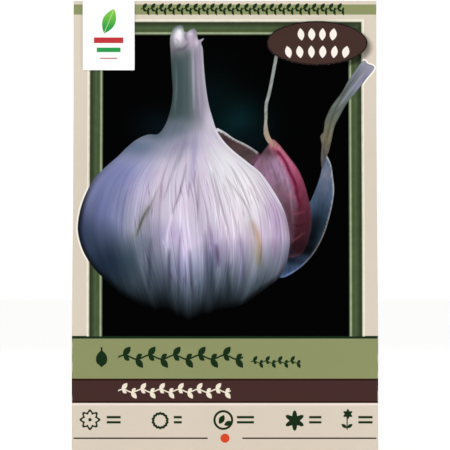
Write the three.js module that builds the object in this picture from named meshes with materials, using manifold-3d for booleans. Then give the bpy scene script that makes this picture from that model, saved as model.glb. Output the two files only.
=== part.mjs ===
// Seed packet: a side-gusseted paper bag with a block bottom, standing on its base, with two
// garlic bulbs for planting inside and two printed stickers near the top of its front.
//
// Millimetres, +Z up. The printed front faces -Y. The origin is the middle of the base.
//
// The bag is one folded and glued sheet. Its front and back lean together above the bulbs,
// and each side panel folds inwards between them, so the side panel keeps its width: half of
// it is the slant of a right triangle whose legs are the bag's half depth and the fold's reach.

import * as THREE from 'three';
import Module from 'manifold-3d';
import { mergeVertices, toCreasedNormals } from 'three/addons/utils/BufferGeometryUtils.js';

// ---- Driving dimensions ---------------------------------------------------------------

const BAG_WIDTH = 108;
const BAG_HEIGHT = 159;
const BAG_DEPTH = 42;
const PAPER = 0.4;
const BASE_PAPER = 0.8;

const FULL_DEPTH_HEIGHT = 24;   // the front and back stand upright up to here
const PINCHED_DEPTH = 2.4;      // the four layers of paper at the closed top
const MOUTH_OVERRUN = 1;        // how far the hollow's cutter runs past the top edge
const FOLD_STEPS = 30;          // slices that the folding side panels are cut into

const LEAF_STICKER_WIDTH = 18.4;
const LEAF_STICKER_HEIGHT = 24.6;
const LEAF_STICKER_CORNER = 1.6;
const LEAF_STICKER_INSET = 3.6; // from the bag's left edge
const STICKER_THICKNESS = 0.3;
const STICKER_GAP = 0.3;        // glue line between a sticker and the paper
const STICKER_MARGIN = 0.5;     // flat paper that the closed top keeps below the stickers

const OVAL_STICKER_WIDTH = 35.6;
const OVAL_STICKER_HEIGHT = 15.6;
const OVAL_STICKER_INSET = 3.6; // from the bag's right edge
const OVAL_STICKER_DROP = 7.2;  // from the bag's top edge
const STICKER_SEGMENTS = 24;

const BULB_GAP = 1;             // between a bulb and the paper or the other bulb
const BULB_FLOOR_GAP = 0.3;
const BULB_HEIGHT_TO_RADIUS = 1.7;
const BULB_NECK_LENGTH = 9;
const BULB_NECK_RADIUS = 3.6;
const BULB_ROOT_RADIUS = 6.5;
const BULB_SIDES = 30;
const BULB_PROFILE_STEPS = 16;

const CREASE_ANGLE = Math.PI / 9; // edges sharper than this are shaded crisp

// ---- Sizes that follow ----------------------------------------------------------------

const SIDE_HALF = BAG_DEPTH / 2;
const PINCH_HEIGHT = BAG_HEIGHT - LEAF_STICKER_HEIGHT - STICKER_MARGIN;
const PINCH_ANGLE = Math.acos(PINCHED_DEPTH / BAG_DEPTH);

const BULB_ROOM_ACROSS = (BAG_WIDTH / 2 - PAPER - 1.5 * BULB_GAP) / 2;
const BULB_ROOM_DEEP = SIDE_HALF - PAPER - BULB_GAP;
const BULB_RADIUS = Math.min(BULB_ROOM_ACROSS, BULB_ROOM_DEEP);
const BULB_OFFSET = BULB_GAP / 2 + BULB_ROOM_ACROSS;

// ---- Materials ------------------------------------------------------------------------

const BEIGE_PAPER = new THREE.MeshStandardMaterial({ color: 0xd8ccbc, roughness: 0.55, metalness: 0 });
const WHITE_STICKER = new THREE.MeshStandardMaterial({ color: 0xf6f7f2, roughness: 0.4, metalness: 0 });
const BROWN_STICKER = new THREE.MeshStandardMaterial({ color: 0x462a26, roughness: 0.4, metalness: 0 });
const GARLIC_SKIN = new THREE.MeshStandardMaterial({ color: 0xe6dcec, roughness: 0.5, metalness: 0 });

// ---- Solids and booleans --------------------------------------------------------------

const wasm = await Module();
wasm.setup();

function toManifold(geometry) {
  const bare = geometry.index ? geometry.toNonIndexed() : geometry.clone();
  bare.deleteAttribute('normal');
  bare.deleteAttribute('uv');
  const merged = mergeVertices(bare, 1e-4);
  const vertProperties = new Float32Array(merged.attributes.position.array);
  const triVerts = new Uint32Array(merged.index.array);
  return new wasm.Manifold(new wasm.Mesh({ numProp: 3, vertProperties, triVerts }));
}

function toGeometry(manifold) {
  const mesh = manifold.getMesh();
  const geometry = new THREE.BufferGeometry();
  geometry.setAttribute('position', new THREE.BufferAttribute(mesh.vertProperties, 3));
  geometry.setIndex(new THREE.BufferAttribute(mesh.triVerts, 1));
  return toCreasedNormals(geometry, CREASE_ANGLE);
}

function namedMesh(name, geometry, material) {
  const mesh = new THREE.Mesh(geometry, material);
  mesh.name = name;
  return mesh;
}

// ---- The bag --------------------------------------------------------------------------

// How far the side panels have turned inwards at a height: 0 round the bulbs, and
// PINCH_ANGLE at the closed top, easing in and out between the two.
function foldAngle(z) {
  const t = THREE.MathUtils.smoothstep(z, FULL_DEPTH_HEIGHT, PINCH_HEIGHT);
  return PINCH_ANGLE * t;
}

// Half the bag's depth at a height.
function halfDepth(z) {
  return SIDE_HALF * Math.cos(foldAngle(z));
}

// The six corners of the level section at a height, moved inwards by a thickness of paper,
// anticlockwise from the front left: the side folds are the third and the last.
function sectionAt(z, inset) {
  const depth = halfDepth(z);
  const reach = SIDE_HALF * Math.sin(foldAngle(z));
  const corner = BAG_WIDTH / 2 - inset * (reach + SIDE_HALF) / depth;
  const fold = BAG_WIDTH / 2 - reach - inset * SIDE_HALF / depth;
  const face = depth - inset;
  return [
    new THREE.Vector2(-corner, -face),
    new THREE.Vector2(corner, -face),
    new THREE.Vector2(fold, 0),
    new THREE.Vector2(corner, face),
    new THREE.Vector2(-corner, face),
    new THREE.Vector2(-fold, 0),
  ];
}

// A solid that follows the bag's section from one height to another. It is the closed top's
// section extruded in even steps, with each slice's corners then moved to where the section
// at that height has them.
function foldedSolid(bottom, top, inset) {
  const outline = sectionAt(BAG_HEIGHT, inset);
  const geometry = new THREE.ExtrudeGeometry(new THREE.Shape(outline), {
    depth: top - bottom,
    steps: FOLD_STEPS,
    bevelEnabled: false,
  });
  const position = geometry.attributes.position;
  for (let i = 0; i < position.count; i += 1) {
    const here = new THREE.Vector2(position.getX(i), position.getY(i));
    const z = bottom + position.getZ(i);
    const distances = outline.map((corner) => corner.distanceTo(here));
    const nearest = distances.indexOf(Math.min(...distances));
    const moved = sectionAt(z, inset)[nearest];
    position.setXYZ(i, moved.x, moved.y, z);
  }
  return toManifold(geometry);
}

function paperBag() {
  const outside = foldedSolid(0, BAG_HEIGHT, 0);
  const hollow = foldedSolid(BASE_PAPER, BAG_HEIGHT + MOUTH_OVERRUN, PAPER);
  return namedMesh('paper_bag', toGeometry(outside.subtract(hollow)), BEIGE_PAPER);
}

// ---- The stickers ---------------------------------------------------------------------

// A sticker lies on the flat closed top of the front: its outline is drawn in the bag's X
// and Z, and its thickness runs towards -Y from the glue line.
function sticker(name, shape, material) {
  const geometry = new THREE.ExtrudeGeometry(shape, {
    depth: STICKER_THICKNESS,
    bevelEnabled: false,
    curveSegments: STICKER_SEGMENTS,
  });
  const mesh = namedMesh(name, geometry, material);
  mesh.rotation.x = Math.PI / 2;
  mesh.position.y = -halfDepth(BAG_HEIGHT) - STICKER_GAP;
  return mesh;
}

function leafSticker() {
  const left = -BAG_WIDTH / 2 + LEAF_STICKER_INSET;
  const right = left + LEAF_STICKER_WIDTH;
  const bottom = BAG_HEIGHT - LEAF_STICKER_HEIGHT;
  const r = LEAF_STICKER_CORNER;
  const shape = new THREE.Shape();
  shape.moveTo(left + r, bottom);
  shape.absarc(right - r, bottom + r, r, -Math.PI / 2, 0);
  shape.lineTo(right, BAG_HEIGHT);
  shape.lineTo(left, BAG_HEIGHT);
  shape.absarc(left + r, bottom + r, r, Math.PI, 1.5 * Math.PI);
  return sticker('leaf_sticker', shape, WHITE_STICKER);
}

function ovalSticker() {
  const x = BAG_WIDTH / 2 - OVAL_STICKER_INSET - OVAL_STICKER_WIDTH / 2;
  const z = BAG_HEIGHT - OVAL_STICKER_DROP - OVAL_STICKER_HEIGHT / 2;
  const shape = new THREE.Shape();
  shape.absellipse(x, z, OVAL_STICKER_WIDTH / 2, OVAL_STICKER_HEIGHT / 2, 0, 2 * Math.PI);
  return sticker('oval_sticker', shape, BROWN_STICKER);
}

// ---- The bulbs ------------------------------------------------------------------------

// Half of the bulb's outline, from the root plate on the axis, out round the cloves, in over
// the shoulders and up the cut neck to the axis again.
function bulbProfile() {
  const body = BULB_RADIUS * BULB_HEIGHT_TO_RADIUS;
  const skin = new THREE.SplineCurve([
    new THREE.Vector2(BULB_ROOT_RADIUS, 0),
    new THREE.Vector2(BULB_RADIUS * 0.86, body * 0.2),
    new THREE.Vector2(BULB_RADIUS, body * 0.42),
    new THREE.Vector2(BULB_RADIUS * 0.72, body * 0.74),
    new THREE.Vector2(BULB_NECK_RADIUS, body),
    new THREE.Vector2(BULB_NECK_RADIUS, body + BULB_NECK_LENGTH),
  ]);
  const points = skin.getPoints(BULB_PROFILE_STEPS);
  const widest = Math.max(...points.map((point) => point.x));
  const fitted = points.map((p) => new THREE.Vector2(p.x * BULB_RADIUS / widest, p.y));
  const top = fitted[fitted.length - 1].y;
  return [new THREE.Vector2(0, 0), ...fitted, new THREE.Vector2(0, top)];
}

function seedBulb(name, x) {
  const geometry = new THREE.LatheGeometry(bulbProfile(), BULB_SIDES);
  const bulb = namedMesh(name, geometry, GARLIC_SKIN);
  bulb.rotation.x = Math.PI / 2;
  bulb.position.set(x, 0, BASE_PAPER + BULB_FLOOR_GAP);
  return bulb;
}

// ---- The packet -----------------------------------------------------------------------

const packet = new THREE.Group();
packet.add(paperBag());
packet.add(leafSticker());
packet.add(ovalSticker());
packet.add(seedBulb('seed_bulb_left', -BULB_OFFSET));
packet.add(seedBulb('seed_bulb_right', BULB_OFFSET));

export default packet;
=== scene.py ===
"""Seed packet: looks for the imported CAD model.

A side-gusseted paper bag with a printed front, two labels near its top and two garlic bulbs
inside. Lengths are metres in the frame of the CAD model: +Z up, the printed front faces -Y,
the origin is the middle of the base. The print is laid out in millimetres on the front.
"""

import bmesh
import bpy
import numpy as np
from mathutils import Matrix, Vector


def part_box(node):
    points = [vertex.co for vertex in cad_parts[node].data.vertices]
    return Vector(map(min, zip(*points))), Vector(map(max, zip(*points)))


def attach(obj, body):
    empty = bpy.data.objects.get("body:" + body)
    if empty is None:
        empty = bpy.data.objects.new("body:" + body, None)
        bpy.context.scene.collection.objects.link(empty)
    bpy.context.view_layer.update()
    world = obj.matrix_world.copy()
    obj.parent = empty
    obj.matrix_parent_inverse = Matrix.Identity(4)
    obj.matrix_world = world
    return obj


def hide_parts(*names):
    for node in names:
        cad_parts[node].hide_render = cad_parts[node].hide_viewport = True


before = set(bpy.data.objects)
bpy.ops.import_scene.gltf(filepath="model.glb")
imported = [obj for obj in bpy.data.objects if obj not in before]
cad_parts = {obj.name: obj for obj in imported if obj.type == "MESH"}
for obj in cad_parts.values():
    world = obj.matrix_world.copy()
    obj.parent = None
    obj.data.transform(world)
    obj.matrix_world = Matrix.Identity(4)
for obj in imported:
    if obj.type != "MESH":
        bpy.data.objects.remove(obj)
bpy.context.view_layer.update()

bl_info = {
    "name": "Seed packet",
    "version": (1, 0, 0),
    "blender": (4, 5, 0),
    "location": "View3D > Sidebar > Seed packet",
    "description": "Builds a printed paper seed packet around its CAD model",
    "category": "Object",
}

# ---- The CAD model's sizes ------------------------------------------------------------

_, BAG_HIGH = (np.array(corner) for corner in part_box("paper_bag"))
LEAF_LOW, LEAF_HIGH = (np.array(corner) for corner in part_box("leaf_sticker"))
OVAL_LOW, OVAL_HIGH = (np.array(corner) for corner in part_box("oval_sticker"))

HALF_WIDTH = float(BAG_HIGH[0])
HEIGHT = float(BAG_HIGH[2])
SIDE_HALF = float(BAG_HIGH[1])

# How the bag narrows: full depth round the bulbs, pinched almost flat just under the labels.
PINCH_HEIGHT = float(LEAF_LOW[2]) - 0.0005
PINCHED_HALF_DEPTH = 0.0012
FULL_DEPTH_HEIGHT = 0.024
PINCH_ANGLE = float(np.arccos(PINCHED_HALF_DEPTH / SIDE_HALF))
BASE_ANGLE = 0.05

# The paper: how tightly it folds, how far panels run on round a fold, and the panels' grids.
CORNER_ROUND = 0.0007
PANEL_OVERLAP = 0.0012
PANEL_ROWS = 380
FRONT_COLUMNS = 260
BACK_COLUMNS = 90
SIDE_COLUMNS = 44
PAPER_THICKNESS = 0.0004

# The glued seam down the back.
SEAM_LEFT = -0.006
SEAM_RIGHT = 0.006
SEAM_STEP = 0.0012

# Where a bulb presses on the front: (place, reach), across and up. Slow waves of a panel:
# (count round, count up, start, size).
PRESS_ACROSS = (0.027, 0.016)
PRESS_UP = (0.02, 0.017)
FRONT_WAVES = [(61, 37, 0.4, 1.0), (-43, 88, 1.9, 0.7), (151, 29, 2.2, 0.5)]
SIDE_WAVES = [(9, 170, 0.0, 0.35), (14, -310, 1.0, 0.25)]

MM = 1000.0

# The block bottom: its grid, its flaps' slant and edges, its seam, how many papers high the
# long flaps, the end flaps and the seam stand, and its rim.
FOOT_GRID = (90, 220)
FLAP_SLANT = 0.62
END_FLAP_EDGE = (0.0386, 0.039)
FOOT_SEAM_HALF = 0.0002
FOOT_SEAM_END = (0.0366, 0.0362)
FOOT_LIFTS = (0.7, 0.9, -0.55)
FOOT_RIM = 0.0012
FOOT_END = 0.0007

# The mouth: its grid, and the slit's depth, slope and ends.
MOUTH_GRID = (90, 160)
MOUTH_DEPTH = 0.004
SLIT_SLOPE = 0.0001
SLIT_END = (0.006, 0.009)

# The labels: a card's corner, steps round a quarter, rings across and rings round the edge.
LABEL_CORNER = 0.0003
QUARTER_STEPS = 25
QUARTER_NUDGE = 1e-6
FLAT_RINGS = 20
EDGE_RINGS = 9
EDGE_BULGE = 0.002
EDGE_INSET = 0.02
OVAL_MIDDLE = [float(v) for v in (OVAL_LOW + OVAL_HIGH) / 2 * MM]
OVAL_HALF = [float(v) for v in (OVAL_HIGH - OVAL_LOW) / 2 * MM]

# The bulbs inside: their grid, and (share of the height, share of the widest radius).
BULB_TURN_STEPS = 181
BULB_HEIGHT_STEPS = 121
OUTLINE_SMOOTHING = 12
CLOVE_HOLLOW = 0.07
SKIN_RIB = 0.006
SEED_BULB_OUTLINE = [
    (0.0, 0.0), (0.005, 0.3), (0.05, 0.52), (0.12, 0.78), (0.25, 0.97), (0.38, 1.0), (0.5, 0.9),
    (0.6, 0.66), (0.7, 0.36), (0.78, 0.22), (0.995, 0.17), (1.0, 0.0),
]

# The stage. Each light has its place and its share of the key light's power.
FLOOR_HALF = 6.0
FLOOR_DROP = -0.0002
FLOOR_STEPS = 9
LIGHT_SIZE = 0.9
LIGHTS = [
    ("key_light", (-0.9, -1.5, 1.1), 1.0),
    ("fill_light", (1.2, -1.3, 0.7), 0.6),
    ("back_light", (0.4, 1.6, 1.2), 0.7),
]
BACKDROP_WHITE = 1.05
SENSOR_WIDTH = 36.0

# ---- Print colours, as seen on the paper, from 0 to 255 -------------------------------

BEIGE = (216, 204, 188)
PALE_LINE = (237, 222, 210)
OLIVE = (139, 145, 100)
BROWN = (69, 45, 43)
BROWN_EDGE = (42, 24, 18)
DARK_GREEN = (24, 46, 24)
CREAM = (240, 233, 214)
RULE_BROWN = (30, 17, 8)
DOT_RED = (214, 72, 42)
VINE_CREAM = (236, 226, 206)
CUT_OUT_CREAM = (247, 243, 232)
RUBBED_PAPER = (232, 226, 214)
BARE_PAPER = (206, 192, 172)
# Painted shade down in the mouth's slit between the papers, not an ink.
PAINTED_SLIT_SHADE = (40, 34, 28)
VEIN_LILAC = (168, 138, 170)
PATCH_PINK = (255, 232, 244)
LEAF_GREEN = (26, 152, 68)
LEAF_LIT = (120, 196, 62)
MIDRIB_GREEN = (196, 226, 150)
BAR_RED = (190, 44, 48)
THIN_BAR_RED = (176, 60, 66)
OVAL_RIM = (20, 9, 7)
CLOVE_WHITE = (244, 236, 228)
SKIN_PURPLE = (176, 132, 168)
SKIN_VEIN = (98, 60, 92)

# ---- The print, in millimetres from the foot of the front's middle line -----------------

# Level bands: (foot, top, ink). A name stands for an ink that the user sets.
PRINTED_BANDS = [
    (16.1, 17.1, PALE_LINE), (17.0, 25.6, "Brown"), (17.0, 17.6, BROWN_EDGE),
    (24.9, 25.6, BROWN_EDGE), (25.6, 39.6, "Olive"), (39.6, 40.6, DARK_GREEN),
    (154.1, 157.7, "Olive"),
]

# The frame: its outer edges, where it stands on the bands, and its colours inwards.
FRAME_LEFT = -48.4
FRAME_RIGHT = 48.9
FRAME_TOP = 152.1
FRAME_FOOT = (40.3, 40.6)
FRAME_WIDTH = 5.6
FRAME_INNER = (5.3, 5.65)
FRAME_MOULDING = [
    (0.0, (236, 230, 212)), (0.45, (200, 200, 180)), (0.75, (48, 52, 33)), (1.7, (54, 68, 44)),
    (2.8, (75, 92, 65)), (3.4, (68, 85, 53)), (4.0, (70, 86, 50)), (4.3, (120, 134, 98)),
    (4.6, (172, 184, 150)), (4.9, (110, 122, 98)), (5.3, (4, 8, 3)), (5.6, (0, 2, 0)),
]

# Vines: (left end, right end, height, pitch, size).
GREEN_VINES = [
    (-37.6, 6.4, 33.1, 8.8, 4.4), (9.0, 26.6, 31.4, 4.4, 2.5), (-29.8, 42.2, 155.9, 3.0, 2.6),
]
CREAM_VINE = (-37.6, 2.0, 21.3, 6.6, 3.2)
LITTLE_BULB = (-43.4, 30.2, 6.4)

# The picture's cut-out: how soft its edge is, and where its cream margin starts outside it.
CUT_OUT_SOFTNESS = 0.14
CUT_OUT_MARGIN = (-0.65, -0.4)

# Growing signs in the foot's margin. Rings: (centre, radius, petals, depth, line). Flowers:
# (centre, radius, petals, depth). Leaves: (foot, angle, length, width). Bars: (left, right).
SIGN_RINGS = [
    ((-47.5, 11.1), 2.8, 8.0, 0.16, 0.42), ((-22.8, 10.8), 2.5, 14.0, 0.05, 0.46),
    ((-0.6, 11.0), 3.1, 3.0, 0.0, 0.4),
]
SIGN_FLOWERS = [
    ((-47.5, 11.1), 0.6, 8.0, 0.1), ((24.5, 10.8), 2.75, 6.0, 0.3),
    ((43.2, 13.1), 1.45, 6.0, 0.22),
]
SIGN_LEAVES = [
    ((-2.0, 9.6), 62, 3.6, 2.0), ((-0.3, 9.2), 25, 3.0, 1.7),
    ((42.9, 8.2), 35, 2.4, 1.2), ((42.9, 8.2), 145, 2.4, 1.2),
]
SIGN_STALK = (42.75, 43.15, 10.0, 2.4)
SIGN_BARS = [(-41.6, -36.7), (-18.0, -15.2), (4.2, 10.2), (29.6, 33.9), (46.9, 51.9)]
SIGN_BAR_HEIGHTS = (12.0, 10.2)
SIGN_BAR_HALF = 0.42

# The rule across the foot: its foot and top, the gap at its middle, its ends, and the dot.
RULE_BAND = (4.35, 4.85)
RULE_GAP = (6.0, 6.2)
RULE_END = 53.3
DOT_CENTRE = (0.0, 4.6)
DOT_RADIUS = 1.6

# The labels' print. The cloves are in rows: (height above the middle, places across).
LEAF_FOOT = (-1.6, 147.4)
LEAF_SHAPE = (68, 9.4, 4.6)
LEAF_SHINE = (148.5, 155.5)
LABEL_BARS = [
    (5.2, 145.0, 1.0, BAR_RED), (4.2, 141.6, 0.8, LEAF_GREEN), (3.0, 138.6, 0.18, THIN_BAR_RED),
]
SHADOW_SHIFT = (1.1, -1.5)
CLOVE_ROWS = [(0.9, (-5.4, -1.8, 1.8, 5.4)), (-5.3, (-9.6, -5.8, -1.9, 1.9, 5.8, 9.6))]
CLOVE_LEAN = 14 / 9.6
CLOVE_LENGTH = 4.4
CLOVE_WIDTHS = (2.3, 2.5)

# ---- The pictured bulb, in the same millimetres -----------------------------------------

# Outlines and lines, as points that a smooth curve passes through.
BULB_LEFT = [
    (-18.2, 149.3), (-19.4, 146.0), (-19.3, 141.3), (-18.9, 134.3), (-18.5, 126.5),
    (-19.2, 120.8), (-21.0, 115.3), (-23.6, 111.8), (-27.2, 111.6), (-31.1, 109.9),
    (-34.6, 107.1), (-37.8, 103.9), (-42.7, 99.6), (-46.6, 95.4), (-49.8, 89.0),
    (-51.5, 83.0), (-51.9, 77.4), (-50.5, 71.7), (-48.4, 67.5), (-45.5, 63.6),
    (-41.6, 59.7), (-37.1, 55.8), (-30.7, 51.9), (-22.9, 48.8), (-16.6, 47.0),
]
BULB_RIGHT = [
    (-11.6, 46.3), (-7.4, 48.1), (-1.1, 49.8), (6.0, 51.6), (10.9, 54.8), (15.2, 57.9),
    (19.1, 61.1), (21.5, 65.7), (22.7, 72.1), (22.5, 77.7), (21.3, 83.3), (19.2, 88.1),
    (15.7, 93.8), (12.3, 98.3), (7.5, 102.2), (3.2, 105.6), (-0.3, 109.1), (-3.0, 113.2),
    (-4.6, 118.0), (-5.8, 122.3), (-6.8, 128.6), (-7.5, 135.7), (-7.9, 142.0),
    (-8.5, 144.1), (-7.4, 145.7), (-9.5, 145.2), (-10.0, 147.9), (-10.9, 149.1), (-12.4, 148.7),
    (-13.3, 147.9), (-14.4, 148.2), (-15.0, 150.2), (-16.6, 150.3),
]
# The sides between which the skin's streaks run.
FLOW_LEFT = [
    (-35.0, 45.2), (-39.0, 50.0), (-44.0, 57.5), (-48.5, 66.0), (-50.8, 72.0),
    (-51.9, 77.4), (-51.5, 83.0), (-49.8, 88.3), (-46.6, 94.7), (-42.7, 98.9),
    (-37.8, 102.5), (-31.8, 106.7), (-26.5, 110.2), (-21.9, 115.5),
    (-19.8, 120.8), (-18.7, 126.5), (-19.1, 141.3), (-19.4, 149.1),
]
FLOW_RIGHT = [
    (9.0, 45.2), (13.0, 50.0), (17.5, 56.5), (20.5, 63.0), (22.2, 68.0), (22.9, 72.1),
    (22.9, 77.7), (21.9, 83.4), (19.8, 88.3), (16.2, 94.0), (12.7, 98.6), (8.1, 102.5),
    (3.9, 106.0), (0.4, 109.5), (-2.8, 113.4), (-4.6, 118.0), (-5.6, 122.3),
    (-6.7, 128.6), (-7.4, 135.7), (-7.8, 149.1),
]
CLOVE = [
    (15.2, 107.8), (16.9, 109.9), (19.1, 108.1), (20.8, 106.0), (23.3, 102.8),
    (25.8, 99.3), (27.9, 94.7), (29.3, 89.7), (30.4, 84.1), (30.4, 78.8), (29.3, 74.2),
    (27.9, 70.7), (25.4, 68.5), (21.2, 68.9), (15.9, 77.7), (8.8, 91.9), (9.5, 99.6),
    (12.7, 104.6),
]
CLOVE_RIDGE = [
    (18.4, 107.4), (21.5, 103.9), (24.4, 98.9), (26.5, 93.3), (27.9, 86.6), (27.5, 78.4),
    (26.5, 72.1),
]
CLOVE_CREASE = [
    (18.7, 105.6), (21.2, 102.1), (23.0, 98.0), (25.0, 93.8), (25.6, 89.8), (26.6, 86.4),
    (26.2, 82.0),
]
CLOVE_TIP = [
    (18.4, 140.6), (16.9, 132.5), (15.7, 126.5), (14.6, 122.3), (14.5, 118.4),
    (14.4, 115.2), (14.6, 112.0), (15.9, 109.2), (18.4, 107.1),
]
LOOSE_SKIN = [
    (35.6, 104.6), (37.4, 101.1), (38.1, 96.5), (38.5, 91.9), (37.8, 86.6), (36.7, 82.0),
    (35.3, 77.4), (33.2, 72.8), (30.4, 68.5), (26.1, 64.3), (20.5, 61.1), (18.0, 62.9),
    (19.4, 70.7), (26.5, 79.5), (29.6, 86.6), (32.8, 94.3), (34.2, 99.6), (34.2, 103.9),
]
LOOSE_SKIN_RIM = LOOSE_SKIN[:11]
STRAP = [
    (34.2, 99.6), (33.9, 103.9), (34.2, 108.1), (33.7, 110.9), (34.9, 112.7),
    (35.3, 116.2), (36.7, 119.8), (38.1, 122.3), (41.3, 126.5), (44.1, 131.4),
    (48.7, 137.6), (50.5, 136.7), (52.9, 135.3), (49.8, 131.1), (46.6, 126.8),
    (43.4, 123.0), (40.9, 118.7), (38.8, 114.5), (37.8, 110.2), (36.7, 105.6),
    (35.6, 103.2),
]
STRAP_MIDDLE = [
    (34.9, 100.3), (35.3, 106.0), (35.6, 110.2), (37.1, 115.9), (39.9, 121.5),
    (43.4, 127.2), (46.9, 132.9), (51.2, 136.7),
]
SKIN_FLAP = [
    (-3.2, 113.8), (-0.4, 112.7), (3.2, 110.2), (7.1, 108.3), (10.2, 106.4),
    (12.4, 104.4), (11.3, 101.1), (8.1, 101.8), (2.5, 106.0), (-1.1, 109.5),
]
SKIN_FLAP_RIM = [
    (-2.8, 113.4), (-0.4, 112.5), (3.2, 110.2), (7.1, 108.2), (10.2, 106.4), (12.0, 104.6),
]

# Soft washes of colour: (colour, centre, reach across and up, strength).
BULB_WASHES = [
    ((132, 138, 184), (-36.4, 98.2), (10.6, 9.2), 0.95),
    ((104, 113, 158), (-44.1, 86.2), (9.5, 16.9), 0.95),
    ((112, 120, 160), (-39.2, 85.5), (4.9, 14.1), 0.5),
    ((150, 150, 172), (-30.0, 80.6), (4.2, 9.2), 0.7),
    ((98, 112, 138), (-31.4, 107.1), (9.2, 4.2), 0.95),
    ((92, 107, 124), (-23.6, 111.7), (7.1, 4.2), 0.9),
    ((226, 226, 230), (1.1, 100.7), (7.8, 10.6), 0.95),
    ((228, 224, 230), (6.7, 89.7), (7.8, 12.0), 0.9),
    ((222, 212, 226), (2.5, 79.1), (4.9, 7.8), 0.7),
    ((206, 184, 212), (16.6, 83.4), (4.6, 12.7), 0.75),
    ((198, 172, 206), (7.4, 72.1), (7.8, 4.2), 0.5),
    ((212, 204, 220), (-16.6, 85.5), (3.9, 10.6), 0.8),
    ((192, 182, 202), (-10.2, 79.1), (2.5, 10.6), 0.5),
    ((150, 140, 172), (-4.2, 71.4), (3.2, 6.4), 0.8),
    ((187, 167, 199), (1.4, 72.1), (2.5, 4.2), 0.6),
    ((208, 200, 220), (-20.8, 96.1), (5.6, 4.2), 0.5),
    ((165, 150, 118), (11.3, 68.5), (1.4, 4.2), 0.75),
    ((150, 130, 120), (8.8, 76.0), (1.4, 7.1), 0.25),
    ((96, 122, 126), (-33.8, 66.5), (3.4, 7.0), 0.65),
    ((216, 192, 226), (3.0, 68.0), (4.2, 5.6), 0.7),
    ((246, 243, 248), (5.5, 91.0), (8.0, 8.0), 0.8),
    ((206, 196, 226), (-28.6, 91.0), (4.0, 6.5), 0.6),
    ((212, 202, 220), (-24.0, 90.5), (3.2, 5.0), 0.5),
    ((146, 142, 180), (-23.6, 76.0), (5.0, 4.6), 0.6),
    ((178, 168, 206), (-17.6, 76.4), (3.6, 4.6), 0.5),
    ((118, 128, 146), (-30.2, 74.0), (3.6, 5.0), 0.5),
    ((190, 172, 228), (-14.0, 65.0), (11.0, 8.0), 0.45),
]

BULB_SHADOWS = [
    ((20, 34, 52), (-42.7, 66.4), (10.6, 9.2), 0.8),
    ((45, 57, 82), (-49.8, 74.2), (5.6, 11.3), 0.8),
    ((52, 50, 76), (23.5, 66.0), (4.4, 9.0), 0.5),
    ((40, 52, 80), (-51.8, 80.0), (2.4, 12.0), 0.85),
    ((126, 98, 128), (22.0, 84.5), (2.6, 8.5), 0.5),
]
STEM_WASHES = [
    ((92, 106, 120), (-17.2, 113.4), (5.6, 3.6), 0.75),
    ((132, 132, 158), (-14.6, 108.4), (6.2, 3.4), 0.6),
    ((148, 146, 170), (-19.0, 105.4), (4.5, 3.0), 0.4),
    ((210, 204, 220), (-5.4, 116.0), (2.2, 5.0), 0.65),
    ((100, 104, 104), (-16.2, 140.6), (2.6, 2.6), 0.6),
    ((238, 232, 242), (-16.6, 145.9), (2.8, 3.2), 1.0),
    ((188, 172, 192), (-12.0, 144.9), (2.5, 3.2), 0.9),
    ((128, 118, 128), (-18.9, 143.6), (0.8, 3.2), 0.8),
    ((250, 247, 250), (-16.2, 147.8), (1.2, 1.5), 0.9),
    ((176, 152, 172), (-14.3, 144.0), (1.0, 1.1), 0.6),
    ((236, 218, 236), (-12.4, 147.4), (1.1, 1.1), 0.7),
    ((222, 206, 224), (-10.0, 144.2), (0.7, 1.6), 0.7),
]
CLOVE_WASHES = [
    ((156, 124, 156), (17.2, 100.8), (3.2, 4.6), 0.95),
    ((152, 120, 148), (20.0, 97.0), (3.0, 4.2), 0.85),
    ((112, 78, 82), (14.5, 106.0), (2.8, 2.5), 0.9),
    ((116, 86, 100), (13.4, 101.6), (2.6, 4.0), 0.6),
    ((118, 90, 104), (19.3, 91.6), (3.0, 4.0), 0.9),
    ((134, 104, 124), (21.7, 92.6), (1.6, 2.6), 0.8),
    ((92, 63, 74), (21.8, 86.0), (3.0, 4.5), 0.9),
    ((80, 50, 60), (24.2, 82.0), (2.6, 5.0), 0.85),
    ((60, 34, 42), (25.4, 77.5), (3.4, 4.0), 0.85),
    ((28, 18, 22), (25.4, 71.5), (5.0, 3.6), 0.95),
    ((26, 18, 24), (22.8, 69.6), (2.6, 2.0), 0.8),
    ((70, 50, 58), (15.0, 105.4), (2.6, 1.8), 0.8),
    ((72, 48, 58), (23.4, 81.0), (1.8, 4.5), 0.6),
]
LOOSE_SKIN_WASHES = [
    ((118, 120, 136), (35.6, 97.5), (2.5, 4.0), 0.95),
    ((88, 98, 120), (35.0, 92.0), (3.0, 3.0), 0.95),
    ((66, 80, 98), (33.5, 88.5), (3.5, 3.0), 0.9),
    ((48, 62, 82), (34.5, 85.0), (3.0, 3.0), 0.9),
    ((30, 44, 58), (33.5, 81.5), (3.5, 3.5), 0.9),
    ((3, 7, 11), (30.0, 75.5), (3.6, 4.5), 0.95),
    ((8, 10, 14), (27.6, 71.0), (4.0, 3.0), 0.95),
    ((34, 46, 66), (27.2, 66.6), (3.0, 1.6), 0.9),
    ((64, 84, 120), (23.6, 63.5), (3.4, 1.6), 0.85),
    ((6, 14, 20), (31.4, 78.6), (2.6, 4.5), 0.85),
    ((24, 36, 46), (34.4, 77.8), (1.5, 2.8), 0.6),
    ((4, 6, 10), (29.4, 71.2), (2.4, 2.2), 0.85),
    ((12, 18, 28), (23.2, 67.6), (3.2, 2.4), 0.9),
    ((38, 50, 68), (22.0, 63.8), (2.2, 1.4), 0.6),
]
FLAP_WASHES = [
    ((128, 108, 108), (8.8, 105.3), (3.2, 2.1), 0.6),
    ((50, 36, 40), (0.4, 109.5), (3.2, 2.5), 0.6),
    ((56, 44, 48), (7.8, 105.2), (4.0, 2.2), 0.75),
]
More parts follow.
